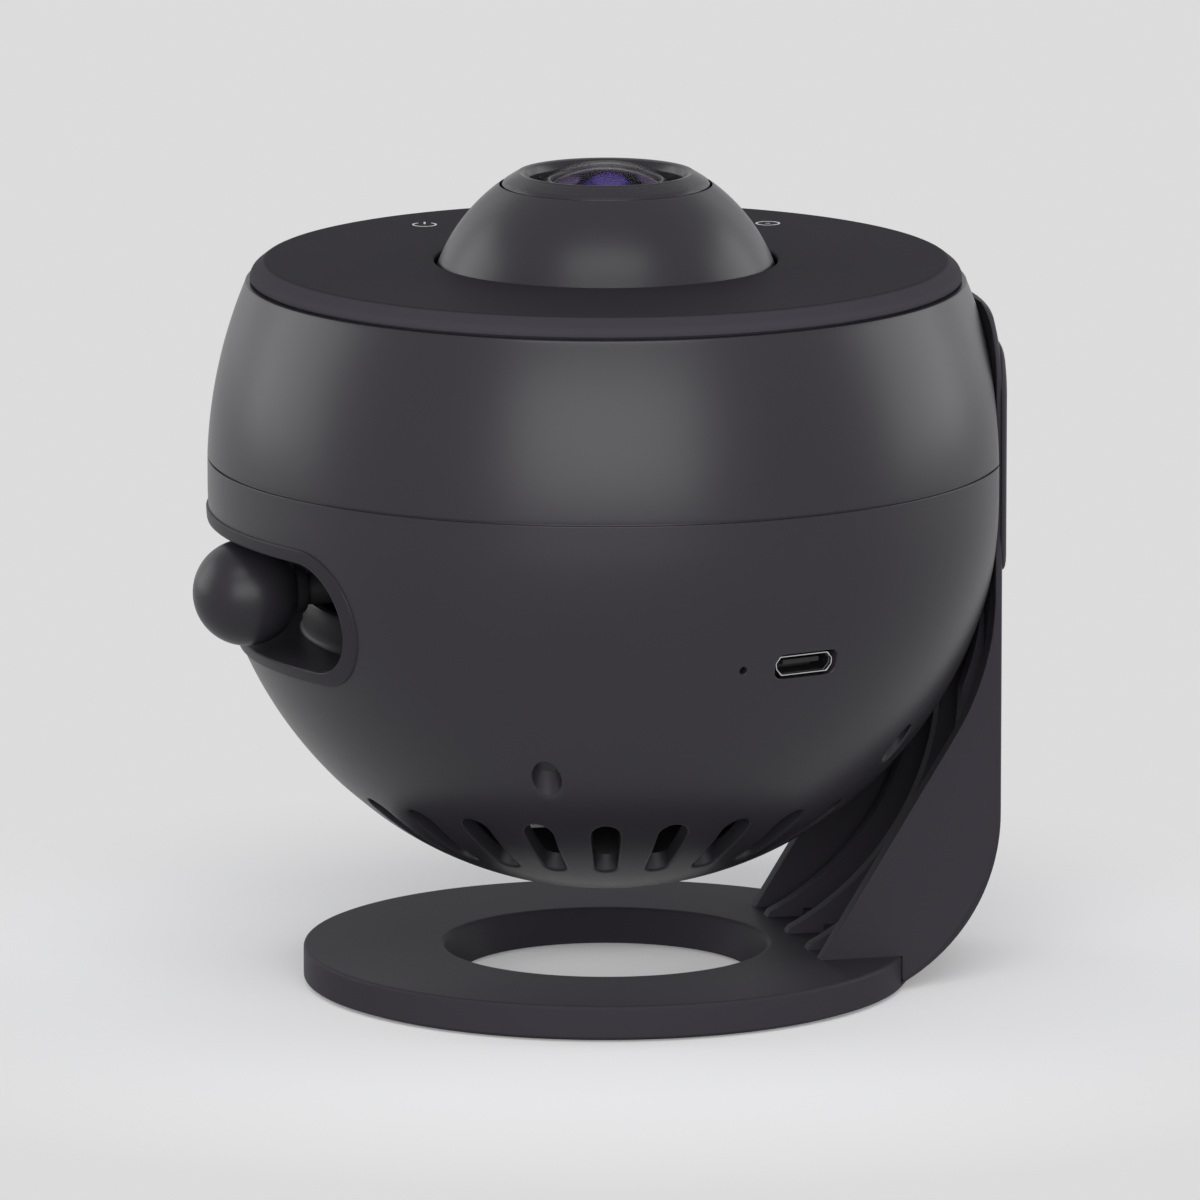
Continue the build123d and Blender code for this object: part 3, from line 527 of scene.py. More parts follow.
# ---------------------------------------------------------------- finishes
class Tap:
    """A shader socket. Python operators on it add the Math nodes for the same sum."""

    def __init__(self, tree, socket=None):
        self.tree, self.socket = tree, socket

    def node(self, kind, settings=None, sockets=None, out=0):
        """Any other node: settings are set first, then the values or links of its sockets."""
        made = self.tree.nodes.new(kind)
        for key, value in (settings or {}).items():
            setattr(made, key, value)
        for key, value in (sockets or {}).items():
            if isinstance(value, Tap):
                self.tree.links.new(value.socket, made.inputs[key])
            else:
                made.inputs[key].default_value = value
        return Tap(self.tree, made.outputs[out])

    def maths(self, operation, *values):
        """A Math node on sockets or numbers."""
        return self.node("ShaderNodeMath", {"operation": operation}, dict(enumerate(values)))

    def noise(self, at, scale, detail):
        """Noise at a place, as one number."""
        return self.node("ShaderNodeTexNoise", {}, {"Vector": at, "Scale": scale, "Detail": detail})

    def __add__(self, other):
        return self.maths("ADD", self, other)

    __radd__ = __add__

    def __mul__(self, other):
        return self.maths("MULTIPLY", self, other)

    __rmul__ = __mul__

    def __sub__(self, other):
        return self.maths("SUBTRACT", self, other)

    def __rsub__(self, other):
        return self.maths("SUBTRACT", other, self)

    def clamped(self, value):
        """A value held between 0 and 1."""
        return self.node("ShaderNodeMath", {"operation": "ADD", "use_clamp": True}, {0: value, 1: 0.0})

    def out(self, name):
        """Another output of the same node."""
        return Tap(self.tree, self.socket.node.outputs[name])


def shader(name, **fixed):
    """New material with a Principled shader; fixed values are set on its own sockets."""
    material = bpy.data.materials.new(name)
    material.use_nodes = True
    tree = material.node_tree
    bsdf = tree.nodes["Principled BSDF"]
    for key, value in fixed.items():
        bsdf.inputs[key.replace("_", " ")].default_value = value
    start = Tap(tree)
    at = start.node("ShaderNodeTexCoord").out("Object")
    return material, start, at, bsdf


def feed(bsdf, **links):
    """Links sockets to a shader's inputs by their names."""
    for key, tap in links.items():
        bsdf.id_data.links.new(tap.socket, bsdf.inputs[key.replace("_", " ")])


# Moulded plastic: scale of its flow marks and depth of its grain in metres. Cover: how fast the
# chamfer's painted highlight, a lighter colour, comes in per metre
FLOW_SCALE, GRAIN_DEPTH, CHAMFER_HIGHLIGHT_FADE = 38.0, 0.00004, 4000.0


def tint(start, factor, low, high):
    """Colour between two, by a factor. Each is a socket or three numbers."""
    low, high = (c if isinstance(c, Tap) else (*c, 1) for c in (low, high))
    return start.node("ShaderNodeMix", {"data_type": "RGBA"}, {0: factor, 6: low, 7: high}, out=2)


def moulded(name, colour, rough=0.5, grain=0.08, grain_scale=3600.0, gloss=0.3):
    """Matte moulded plastic: fine spark-etched grain, faint flow marks, a little uneven gloss."""
    material, start, at, bsdf = shader(name, Specular_IOR_Level=gloss)
    fine = start.noise(at, grain_scale, 2.0)
    wide = start.noise(at, FLOW_SCALE, 3.0)
    c = np.array(colour)
    feed(
        bsdf,
        Base_Color=tint(start, wide, tuple(c * 0.93), tuple(c * 1.07)),
        Roughness=wide * 0.08 + fine * 0.06 + (rough - 0.07),
        Normal=start.node("ShaderNodeBump", {}, {"Strength": grain, "Distance": GRAIN_DEPTH, "Height": fine}),
    )
    return material


def cover_finish(name, colour):
    """Flat cover: dull on top, and from a radius outwards a lighter chamfer, a painted highlight."""
    material, start, at, bsdf = shader(name, Specular_IOR_Level=0.01)
    wide = start.noise(at, FLOW_SCALE, 3.0)
    flat = start.node("ShaderNodeVectorMath", {"operation": "MULTIPLY"}, {0: at, 1: (1.0, 1.0, 0.0)})
    out = start.node("ShaderNodeVectorMath", {"operation": "LENGTH"}, {0: flat}).out("Value")
    top = tint(start, wide, tuple(colour), tuple(colour * 1.12))
    # painted highlight: the chamfer's base colour is raised to stand in for the light it catches
    chamfer = start.clamped((out - (CHAMFER_R - 0.1) * MM) * CHAMFER_HIGHLIGHT_FADE)
    feed(
        bsdf,
        Base_Color=tint(start, chamfer, top, tuple(colour * 1.9)),
        Roughness=wide * 0.08 + 0.5,
    )
    return material


def metal(name, colour, rough=0.3, brushed=900.0):
    """Plated or bare metal with fine tool marks."""
    material, start, at, bsdf = shader(name, Metallic=1.0)
    fine = start.noise(at, brushed, 4.0)
    c = np.array(colour)
    feed(
        bsdf,
        Base_Color=tint(start, fine, tuple(c * 0.85), tuple(np.minimum(c * 1.1, 1))),
        Roughness=fine * 0.2 + (rough - 0.1),
    )
    return material


def board_finish(name):
    """Lacquered circuit board with faint copper tracks under the lacquer."""
    material, start, at, bsdf = shader(name, Coat_Roughness=0.15)
    tracks = start.node("ShaderNodeTexBrick", {}, {"Vector": at, "Scale": 160.0}).out("Fac")
    feed(
        bsdf,
        Base_Color=tint(start, tracks, (0.02, 0.16, 0.07), (0.05, 0.28, 0.13)),
        Roughness=tracks * 0.15 + 0.3,
    )
    return material


def glass_finish(name, ior=1.5, solid=1.0, coat=0.0):
    """Polished glass with a trace of dust; an index near one stands for a thin dome that
    hardly bends light, with a coat for its shine."""
    material, start, at, bsdf = shader(
        name, Transmission_Weight=1.0, IOR=ior, Alpha=solid, Coat_Weight=coat, Coat_IOR=1.3,
    )
    dust = start.noise(at, 700.0, 2.0)
    feed(bsdf, Base_Color=tint(start, dust, (0.96, 0.95, 0.98), (0.98, 0.97, 0.99)), Roughness=dust * 0.004)
    return material


def coated_finish(name, violet):
    """Coated inner glass: dark, with violet patches of painted reflection, each the points within a
    radius of a centre, with a soft edge. A patch tints the violet by its own three factors."""
    material, start, at, bsdf = shader(name, Metallic=0.9, Specular_Tint=(0.3, 0.27, 0.34, 1.0))
    haze = start.noise(at, 90.0, 1.0)
    colour = tint(start, haze, (0.020, 0.018, 0.024), (0.030, 0.027, 0.035))
    # painted reflections: each patch lays violet into the base colour where the coating mirrors the lamps
    for x, y, reach, factors in LENS_REFLECTION_PATCHES:
        away = start.node(
            "ShaderNodeVectorMath", {"operation": "DISTANCE"}, {0: at, 1: (x * MM, y * MM, REFLECTION_PATCH_Z * MM)},
        ).out("Value")
        inside = start.clamped((reach * MM - away) * REFLECTION_PATCH_FADE)
        colour = tint(start, inside, colour, tuple(np.array(violet) * factors))
    feed(bsdf, Base_Color=colour, Roughness=haze * 0.05 + 0.1)
    return material


MATERIALS = {}


def finish_named(name):
    """The scene's finishes, each made once."""
    look = bpy.context.scene.projector_finishes
    body = tuple(look.body)
    makers = {
        "shell": lambda: moulded("shell_plastic", body, 0.33, gloss=0.22),
        "cover": lambda: cover_finish("cover_plastic", np.array(body)),
        "stand": lambda: moulded("stand_plastic", tuple(np.array(body) * 1.5), 0.4, gloss=0.015),
        "knob": lambda: moulded("knob_plastic", tuple(np.array(body) * 0.85), 0.36, gloss=0.2),
        "recess": lambda: moulded("recess_plastic", body, 0.4, gloss=0.08),
        "bezel": lambda: moulded("bezel_plastic", body, 0.28, 0.03, gloss=0.2),
        "inner": lambda: moulded("inner_plastic", (0.012, 0.012, 0.013), 0.6),
        "pale": lambda: moulded("pale_plastic", (0.6, 0.59, 0.55), 0.4),
        "rubber": lambda: moulded("foot_rubber", (0.02, 0.02, 0.02), 0.8, 0.4, 1500.0),
        "ink": lambda: moulded("mark_ink", tuple(look.ink), 0.5),
        "steel": lambda: metal("plated_steel", (0.6, 0.6, 0.61), 0.3),
        "aluminium": lambda: metal("bare_aluminium", (0.72, 0.72, 0.73), 0.4, 500.0),
        "brass": lambda: metal("turned_brass", (0.72, 0.5, 0.22), 0.28),
        "board": lambda: board_finish("circuit_board"),
        "glass": lambda: glass_finish("lens_glass", 1.006, 0.3, 0.3),
        "clear": lambda: glass_finish("inner_glass"),
        "coated": lambda: coated_finish("lens_coating_painted_reflections", tuple(look.glass)),
        "baffle": lambda: moulded("baffle_black", (0.030, 0.028, 0.025), 0.4, gloss=0.2),
        # painted shade: the socket's inside is the same steel as its bright edge, painted dark for the shade
        # in the hole
        "socket": lambda: metal("socket_lining_painted_shade", (0.06, 0.06, 0.065), 0.5),
        "bright": lambda: metal("socket_edge", (0.62, 0.62, 0.63), 0.25),
        "film": lambda: moulded("star_film", (0.01, 0.01, 0.02), 0.15),
    }
    if name not in MATERIALS:
        MATERIALS[name] = makers[name]()
    return MATERIALS[name]


# ---------------------------------------------------------------- pieces of the head
def bowl_stations():
    """Angles of the bowl's profile from its bottom pole to the upright waist, and the waist."""
    floor = np.linspace(-90, -57.5, 24)[:-1]
    flank = np.linspace(-57.5, 0, 58)
    return np.radians(np.concatenate([floor, flank]))


def lay_bowl(inset):
    """Grid of the bowl: floor arc and flank arc by station angle, turned about Z."""

    def lay(stations, turns):
        """Points by station s and turn: r and z are cos s and sin s times an arc's radius, from its
        middle."""
        onfloor = stations < -FLANK_TURN - 1e-6
        r = np.where(onfloor, (FLOOR_R - inset) * np.cos(stations),
                     HEAD_R - FLANK_R + (FLANK_R - inset) * np.cos(stations))
        z = np.where(onfloor, FLOOR_Z + (FLOOR_R - inset) * np.sin(stations),
                     FLANK_Z + (FLANK_R - inset) * np.sin(stations))
        x, y = r[:, None] * np.cos(turns), r[:, None] * np.sin(turns)
        return np.stack([x, y, np.broadcast_to(z[:, None], x.shape)], -1)

    return lay


def bowl_holes(sizes, stations, turns):
    """Vents, screw wells, inlet, pinhole and lever recess, each with its block of the grid."""
    step = turns[1] - turns[0]
    columns = len(turns)
    edge = sizes.edge / MM
    outer, inner = sizes.vent_outer / MM, sizes.vent_inner / MM

    def block(turn, extent):
        """Rows and columns of the grid round a direction: first and last row, first and last column."""
        half_turn, low, high = (math.radians(v) for v in extent)
        i0 = int(math.floor((turn - half_turn - turns[0]) / step)) % columns
        i1 = i0 + int(math.ceil(2 * half_turn / step)) + 1
        j0 = int(np.searchsorted(stations, low)) - 1
        j1 = int(np.searchsorted(stations, high))
        return j0, j1, i0, i1

    through, blind = [], []
    tapered = slot_distance((outer - inner) / 2, VENT_NARROW_R, VENT_WIDE_R)
    for i in range(sizes.vent_count):
        turn = turns[0] + i * TURN / sizes.vent_count
        vent = Hole(turn, (outer + inner) / 2, tapered, False, edge)
        through.append((vent, block(turn, VENT_BLOCK)))
    for turn in np.radians(WELL_TURNS):
        blind.append((Hole(turn, WELL_PLACE, disc_distance(WELL_R), False, edge), block(turn, WELL_BLOCK)))
    port = Hole(INLET_TURN, INLET_Z, plate_distance(*INLET_HALF, INLET_CORNER), True, 0.2)
    through.append((port, block(INLET_BLOCK_TURN, INLET_BLOCK)))
    pin = Hole(PIN_TURN, INLET_Z, disc_distance(PIN_R), True, 0.12)
    blind.append((pin, block(PIN_TURN, PIN_BLOCK)))
    reach = float(profile_r(LEVER_Z, 0)) * RIM_SWEEP + RECESS_HALF
    recess = Hole(math.pi, LEVER_Z, plate_distance(reach, RECESS_HALF, RECESS_HALF - 0.001), True, 0.0)
    through.append((recess, block(math.pi, RECESS_BLOCK)))
    return through, blind


class PROJECTOR_OT_bowl(bpy.types.Operator):
    """Lower shell of the head: a turned bowl with tapered vents, screw wells and openings"""

    bl_idname = "projector.bowl"
    bl_label = "Bowl"

    def execute(self, context):
        sizes = context.scene.projector_head
        turns = math.radians(1.0) + np.arange(sizes.columns) * TURN / sizes.columns
        stations = bowl_stations()
        through, blind = bowl_holes(sizes, stations, turns)
        wall = Wall()
        outer, ends = wall.skin(stations, turns, through + blind, 0.0, lay_bowl(0.0))
        inner, backs = wall.skin(stations, turns, through, WALL, lay_bowl(WALL))
        for (loop, _), (back, _) in zip(ends[: len(through)], backs):
            wall.strip(loop, back)
        for (hole, _), (loop, ways) in zip(blind, ends[len(through):]):
            if hole.side:
                wall.pocket(hole, loop, ways, depth=PIN_DEPTH)
            else:
                wall.pocket(hole, loop, ways, level=WELL_END)
        profile = [(HEAD_R, SEAM_Z - 0.37), (HEAD_R - 0.03, SEAM_Z - 0.29), (HEAD_R - 0.1, SEAM_Z - 0.25),
                   (HEAD_R - 0.34, SEAM_Z - 0.23), (HEAD_R - 0.36, SEAM_Z), (HEAD_R - WALL, SEAM_Z)]
        last = outer[-1]
        for r, z in profile:
            ring = wall.add(np.stack([r * np.cos(turns), r * np.sin(turns), np.full(len(turns), z)], -1))
            wall.strip(last, ring)
            last = ring
        wall.strip(last, inner[-1])
        outside = np.concatenate(wall.verts)
        r = np.hypot(outside[:, 0], outside[:, 1])
        skin = r > profile_r(outside[:, 2], 0) - 1.0
        outside = np.where(skin[:, None], flatten_facet(outside, FACET_X), outside)
        outside = np.where(skin[:, None], outside, flatten_facet(outside, FACET_X - FACET_WALL))
        wall.verts = [outside]
        piece = wall.object("head_bowl")
        place(piece, "head", finish_named("shell"), "lower_shell")
        return {"FINISHED"}


class PROJECTOR_OT_crown(bpy.types.Operator):
    """Upper shell of the head: turned crown with a soft lip"""

    bl_idname = "projector.crown"
    bl_label = "Crown"

    def execute(self, context):
        radius, x, centre = crown_arc(0.0)
        out = arc(x, centre, radius, CROWN_LEAN + 0.0014, math.asin((LIP_Z - centre) / radius) - 0.005, 34)
        radius, x, centre = crown_arc(WALL)
        back = arc(x, centre, radius, math.asin((LIP_Z - centre) / radius) - 0.008, CROWN_LEAN, 20)
        lip = rounded([out[-1], (out[-1][0] - 0.05, LIP_Z), (back[0][0], LIP_Z), back[0]], 0.28, 5)[4:16]
        under = SEAM_Z + 0.01
        foot = [(HEAD_R - WALL, under), (HEAD_R - 0.12, under), (HEAD_R - 0.03, SEAM_Z + 0.04)]
        profile = np.concatenate([out, lip, back, foot])
        grid = turned(profile, context.scene.projector_head.columns)
        r = np.hypot(grid[..., 0], grid[..., 1])
        skin = (r > profile_r(np.minimum(grid[..., 2], LIP_Z), 0) - 1.0)[..., None]
        grid = np.where(skin, flatten_facet(grid, FACET_X), flatten_facet(grid, FACET_X - FACET_WALL))
        piece = build_grids("head_crown", [(grid, True, True)])
        place(piece, "head", finish_named("shell"), "upper_shell")
        return {"FINISHED"}


class PROJECTOR_OT_cover(bpy.types.Operator):
    """Flat cover with a soft chamfer, the domed lens housing and the printed marks"""

    bl_idname = "projector.cover"
    bl_label = "Cover and dome"

    def execute(self, context):
        top = [(COVER_HOLE_R, COVER_TOP), (CHAMFER_R, COVER_TOP), (44.4, 91.0), (COVER_R, 90.3)]
        seat = [(COVER_R, DOME_FOOT_Z), (44.1, DOME_FOOT_Z), (44.1, LIP_Z), (42.9, LIP_Z)]
        plug = [(42.9, 88.0), (41.6, 88.0), (41.6, 90.1), (22.6, 90.1), (COVER_HOLE_R, 91.5)]
        reach = [0.35, 0.5, 0.4, 0.2, 0.1, 0.1, 0.05, 0.05, 0.1, 0.1, 0.1, 0.1, 0.2]
        cover = turned_piece("cover_plate", rounded(top + seat + plug, reach, 5))
        place(cover, "head", finish_named("cover"), "top_cover")
        hole_r, thin, rise = BARREL_R + 0.3, DOME_R - DOME_WALL, DOME_FOOT_Z - DOME_Z
        out = arc(0, DOME_Z, DOME_R, math.asin(rise / DOME_R), math.acos(hole_r / DOME_R) - 0.012, 48)
        back = arc(0, DOME_Z, thin, math.acos(hole_r / thin), math.asin(rise / thin), 30)
        corners = [out[-1], (hole_r, out[-1][1] + 0.16), back[0], (hole_r, back[0][1] - 0.3)]
        near, far, under = 20.6, 24.0, 88.6
        foot = [(near, 89.8), (near, under), (far, under), (far, DOME_FOOT_Z)]
        dome = turned_piece("dome_housing", np.concatenate([out, rounded(corners, 0.2, 5)[5:10], back, foot]))
        place(dome, "head", finish_named("shell"), "dome")
        place(self.marks(), "head", finish_named("ink"))
        return {"FINISHED"}

    def marks(self):
        """Two small printed marks: a ring open at its top with an upright bar in the gap, and
        a ring with a dot. Each is drawn flat, turned to face the front and moved to its place."""
        gap = arc(0, 0, MARK_R, math.radians(125), math.radians(415), 48)
        power = [gap, [(0, 0.4), (0, 1.2), (0, 2.0)]]
        dotted = [arc(0, 0, MARK_R, 0.0, TURN, 64), [(-0.3, 0.0), (0.0, 0.0), (0.3, 0.0)]]
        bars = []
        for (angle, radius), paths in ((POWER_PLACE, power), (DOT_PLACE, dotted)):
            centre = arc(0, 0, radius, math.radians(angle), math.radians(angle), 1)
            for path in paths:
                ahead = np.stack(turned_about(*np.asarray(path, float).T, FRONT_TURN), -1)
                bars.append(stroke(ahead + centre, MARK_STROKE, MARK_LOW, MARK_HIGH))
        return build_bars("cover_marks", bars)


class PROJECTOR_OT_inlet(bpy.types.Operator):
    """Power inlet: a drawn metal shell with a thin bright edge, its inside painted dark as shade, and its
    tongue
    """

    bl_idname = "projector.inlet"
    bl_label = "Power inlet"

    def execute(self, context):
        lip = [(0.0, INLET_FACE - 0.06), (-0.04, INLET_FACE), (-0.15, INLET_FACE), (-0.19, INLET_FACE - 0.06)]
        rows = [(0.0, INLET_BACK), *lip, (-0.19, INLET_FACE - 0.38), (-0.17, INLET_BACK)]
        shell = build_grids("socket_shell", [(np.stack([self.section(*row) for row in rows]), True, True)])
        place(shell, "head", finish_named("bright"), "inlet_socket", slot="steel")
        rows = [self.section(*row) for row in ((-0.2, 46.45), (-0.26, 46.4), (-0.26, 43.0))]
        rows.append(np.repeat(rows[-1].mean(0, keepdims=True), len(rows[-1]), 0))
        # painted shade: the lining takes the dark steel that stands for the shade inside the socket
        lining = build_grids("socket_lining_painted_shade", [(np.stack(rows), False, True)])
        place(lining, "head", finish_named("socket"), slot="steel")
        half, low, high = TONGUE_HALF, TONGUE_RISE - TONGUE_THICK / 2, TONGUE_RISE + TONGUE_THICK / 2
        section = np.array([(-half, low), (half, low), (half, high), (-half, high)])
        tongue = build_bars("socket_tongue", [np.stack([self.lay(section, x) for x in (42.8, 46.0, 46.1)])])
        place(tongue, "head", finish_named("inner"), slot="steel")
        return {"FINISHED"}

    def section(self, grow, x):
        """Eight-sided outline, narrower below, moved in or out by grow, at a depth along x."""
        top, middle, low, half = 3.5 + grow, 4.15 + grow, 3.35 + grow, 1.24 + grow
        outline = np.array([(-top, half), (-middle, 0.35), (-middle + 0.1, -0.35), (-low, -half),
                            (low, -half), (middle - 0.1, -0.35), (middle, 0.35), (top, half)])
        return self.lay(rounded(outline, 0.12, 3), x)

    def lay(self, points, x):
        """Points of the inlet's face at a distance from the head's axis, turned to its place."""
        return np.stack([*turned_about(x, points[:, 0], INLET_TURN), points[:, 1] + INLET_Z], -1)


class PROJECTOR_OT_lens(bpy.types.Operator):
    """Sloped bezel, domed front glass, stepped baffle and the coated glass below it"""

    bl_idname = "projector.lens"
    bl_label = "Lens"

    def execute(self, context):
        outer = BARREL_R - 0.02
        foot = (outer, DOME_Z + math.sqrt(DOME_R ** 2 - outer ** 2) - 0.22)
        out = arc(0, DOME_Z, DOME_R, math.acos((outer - 0.22) / DOME_R), math.acos(11.2 / DOME_R), 10)
        mouth = [out[-1], (11.0, 103.3), (10.3, 103.15), (BEZEL_INNER_R, 102.3)]
        corners = mouth + [(BEZEL_INNER_R, 101.3), (outer, 101.25), foot]
        rim = rounded(corners, [0.2, 0.16, 0.2, 0.2, 0.05, 0.1, 0.06], 5)
        bezel = turned_piece("bezel_ring", np.concatenate([out[:-1], rim]))
        place(bezel, "lens", finish_named("bezel"), "lens_bezel")
        hollow_r, hollow_edge = LENS_R - FRONT_THICK, FRONT_EDGE_R - 0.15
        over = arc(0, FRONT_Z, LENS_R, math.pi / 2, math.acos(FRONT_EDGE_R / LENS_R), 32)
        hollow = arc(0, FRONT_Z, hollow_r, math.acos(hollow_edge / hollow_r), math.pi / 2, 30)
        glass = turned_piece("front_glass", np.concatenate([over, hollow]), 160)
        place(glass, "lens", finish_named("glass"), "front_lens", slot="lens_glass")
        steps = [(11.3, 100.9), (9.62, 100.9), (9.62, 100.2), (8.6, 100.2), (8.6, 101.0), (8.2, 101.0)]
        nose = [(8.2, 100.4), (7.3, 100.4), (7.3, 102.3), (7.15, 102.42), (6.98, 102.36)]
        foot = [(6.98, 99.6), (11.3, 99.6)]
        baffle = turned_piece("lens_baffle", rounded(steps + nose + foot, 0.06, 3), 192)
        place(baffle, "lens", finish_named("baffle"))
        over = arc(0, COATED_Z, LENS_R, math.pi / 2, math.acos(COATED_EDGE_R / LENS_R), 24)
        flat = [(COATED_EDGE_R, COATED_FOOT), (0.0, COATED_FOOT)]
        piece = turned_piece("second_glass", np.concatenate([over, flat]), 128)
        place(piece, "lens", finish_named("coated"), slot="lens_glass")
        return {"FINISHED"}


class PROJECTOR_OT_lever(bpy.types.Operator):
    """Focus knob and the moulded recess it travels in"""

    bl_idname = "projector.lever"
    bl_label = "Lever and recess"

    def execute(self, context):
        end = -NECK_REACH
        ball = arc(0, 0, KNOB_R, math.pi / 2, -math.acos(NECK_R / KNOB_R) + 0.06, 48)
        collar = np.array([(NECK_R, end + 0.2), (NECK_R - 0.2, end), (0.0, end)])
        profile = np.concatenate([ball, collar])
        grid = turned(profile, 96)
        out = np.stack([grid[..., 2] + KNOB_REACH, grid[..., 0], grid[..., 1] + LEVER_Z], -1)
        out = np.stack([*turned_about(out[..., 0], out[..., 1], LEVER_TURN), out[..., 2]], -1)
        knob = build_grids("focus_knob", [(out, True, False)])
        place(knob, "lever", finish_named("knob"), "lever_knob")
        place(self.recess(), "head", finish_named("recess"), "lever_recess")
        return {"FINISHED"}

    def recess(self):
        """Loft of slot outlines: each ring is the slot grown to a half height, laid on the head
        at an inset or at a radius, from the rim's outer edge over the rim, down the tub and
        along its back wall to the stem's slot."""
        straight, cap = 56, 40
        line = np.linspace(-1, 1, straight, endpoint=False)
        bend = np.linspace(0, math.pi, cap, endpoint=False)
        upper = np.stack([line, np.ones(straight), np.zeros(straight)], -1)
        end = np.stack([np.ones(cap), np.cos(bend), np.sin(bend)], -1)
        around = np.concatenate([upper, end, -upper, -end])

        def ring(height, inset=None, radius=None, sweep=SLOT_SWEEP):
            """Slot outline of a half height. Where the ends bend aside by s from the slot's line,
            the distance along it is the root of r squared less s squared."""
            turn = math.pi + around[:, 0] * sweep
            z = LEVER_Z + height * around[:, 1]
            side = height * around[:, 2]
            r = profile_r(z, inset) if radius is None else np.full(len(z), radius)
            along = np.sqrt(np.maximum(r ** 2 - side ** 2, 0))
            return np.stack([along * np.cos(turn) - side * np.sin(turn),
                             along * np.sin(turn) + side * np.cos(turn), z], -1)

        proud, tub = -RIM_PROUD, TUB_R + TUB_WALL
        rim = [(RIM_H, 1.0), (RIM_H, 0.1), (RIM_H, proud + 0.22), (RIM_H - 0.06, proud + 0.08)]
        mouth = [(MOUTH_H + 0.45, proud), (MOUTH_H + 0.2, proud + 0.05), (MOUTH_H + 0.05, proud + 0.2)]
        sections = [ring(height, inset, sweep=RIM_SWEEP) for height, inset in [*rim, (RIM_H - 0.22, proud)]]
        sections += [ring(*row) for row in [*mouth, (MOUTH_H, proud + 0.45)]]
        front, deep = sections[-1], ring(MOUTH_H - 0.3, radius=tub + 0.1)
        sections += [front + (deep - front) * k for k in (0.2, 0.5, 0.8)]
        back = [(MOUTH_H - 0.15, tub + 0.5), (MOUTH_H - 0.3, tub + 0.2), (MOUTH_H - 0.7, tub), (5.5, tub)]
        slot = [(4.0, tub), (2.7, tub), (2.4, tub - 0.2), (2.4, TUB_R), (5.0, TUB_R)]
        behind = [(MOUTH_H + TUB_WALL, TUB_R)]
        sections += [ring(height, radius=radius) for height, radius in back + slot + behind]
        sections.append(ring(MOUTH_H + TUB_WALL, 1.0))
        return build_grids("lever_bezel", [(np.stack(sections), True, True)])


# ---------------------------------------------------------------- pieces of the stand
class PROJECTOR_OT_base(bpy.types.Operator):
    """Ring base with softened edges and its rubber foot ring"""

    bl_idname = "projector.base"
    bl_label = "Base"

    def execute(self, context):
        near, far, roof = PAD_IN - 0.1, PAD_OUT + 0.1, PAD_H - 0.05
        groove = [(near, BASE_UNDER), (near, roof), (far, roof), (far, BASE_UNDER)]
        rim = [(BASE_R, BASE_UNDER), (BASE_R, BASE_H), (BASE_HOLE_TOP_R, BASE_H)]
        corners = [(BASE_HOLE_R, BASE_UNDER), *groove, *rim]
        reach = [0.3, 0.1, 0.05, 0.05, 0.1, 0.45, 0.5, 0.45]
        base = turned_piece("ring_base", rounded(corners, reach, 6), 288)
        place(base, "stand", finish_named("stand"), "base_ring")
        corners = [(PAD_IN, 0.0), (PAD_OUT, 0.0), (PAD_OUT, PAD_H), (PAD_IN, PAD_H)]
        pad = turned_piece("foot_ring", rounded(corners, 0.3, 4), 192)
        place(pad, "stand", finish_named("rubber"), "foot_pad", slot="foot_rubber")
        return {"FINISHED"}


def arm_front(z):
    """x of the arm's inner edge: leaning line, tangent arc, then upright."""
    z = np.asarray(z, float)
    cx = ARM_FACE_X - BEND_R
    start_z = BEND_Z - BEND_R * math.sin(LEAN)
    start_x = cx + BEND_R * math.cos(LEAN)
    bend = cx + np.sqrt(np.maximum(BEND_R ** 2 - (z - BEND_Z) ** 2, 0))
    line = start_x - (start_z - z) * math.tan(LEAN)
    return np.where(z >= BEND_Z, ARM_FACE_X, np.where(z > start_z, bend, line))


def arm_outer(z, inset=0.0):
    """Radius of the arm's outside: round heel, upright wall, shoulder that leans in, round top."""
    z = np.asarray(z, float)

    def bulge(x, centre, radius):
        """x plus the root of (radius - inset) squared less (z - centre) squared."""
        return x + np.sqrt(np.maximum((radius - inset) ** 2 - (z - centre) ** 2, 0))

    heel = bulge(ARM_R - HEEL_R, HEEL_Z, HEEL_R)
    shoulder = bulge(ARM_R - SHOULDER_R, SHOULDER_Z, SHOULDER_R)
    cap = bulge(CAP_X, ARM_TOP - CAP_R, CAP_R)
    split = SHOULDER_Z + (SHOULDER_R - inset) * math.sin(SHOULDER_TURN)
    return np.select([z < HEEL_Z, z < SHOULDER_Z, z < split], [heel, ARM_R - inset + 0 * z, shoulder], cap)


def arm_half(z):
    """Half width of the arm: full, then round corners at the top."""
    over = np.clip(np.asarray(z, float) - (ARM_TOP - CORNER_R), 0, CORNER_R)
    return ARM_HALF - CORNER_R + np.sqrt(CORNER_R ** 2 - over ** 2)


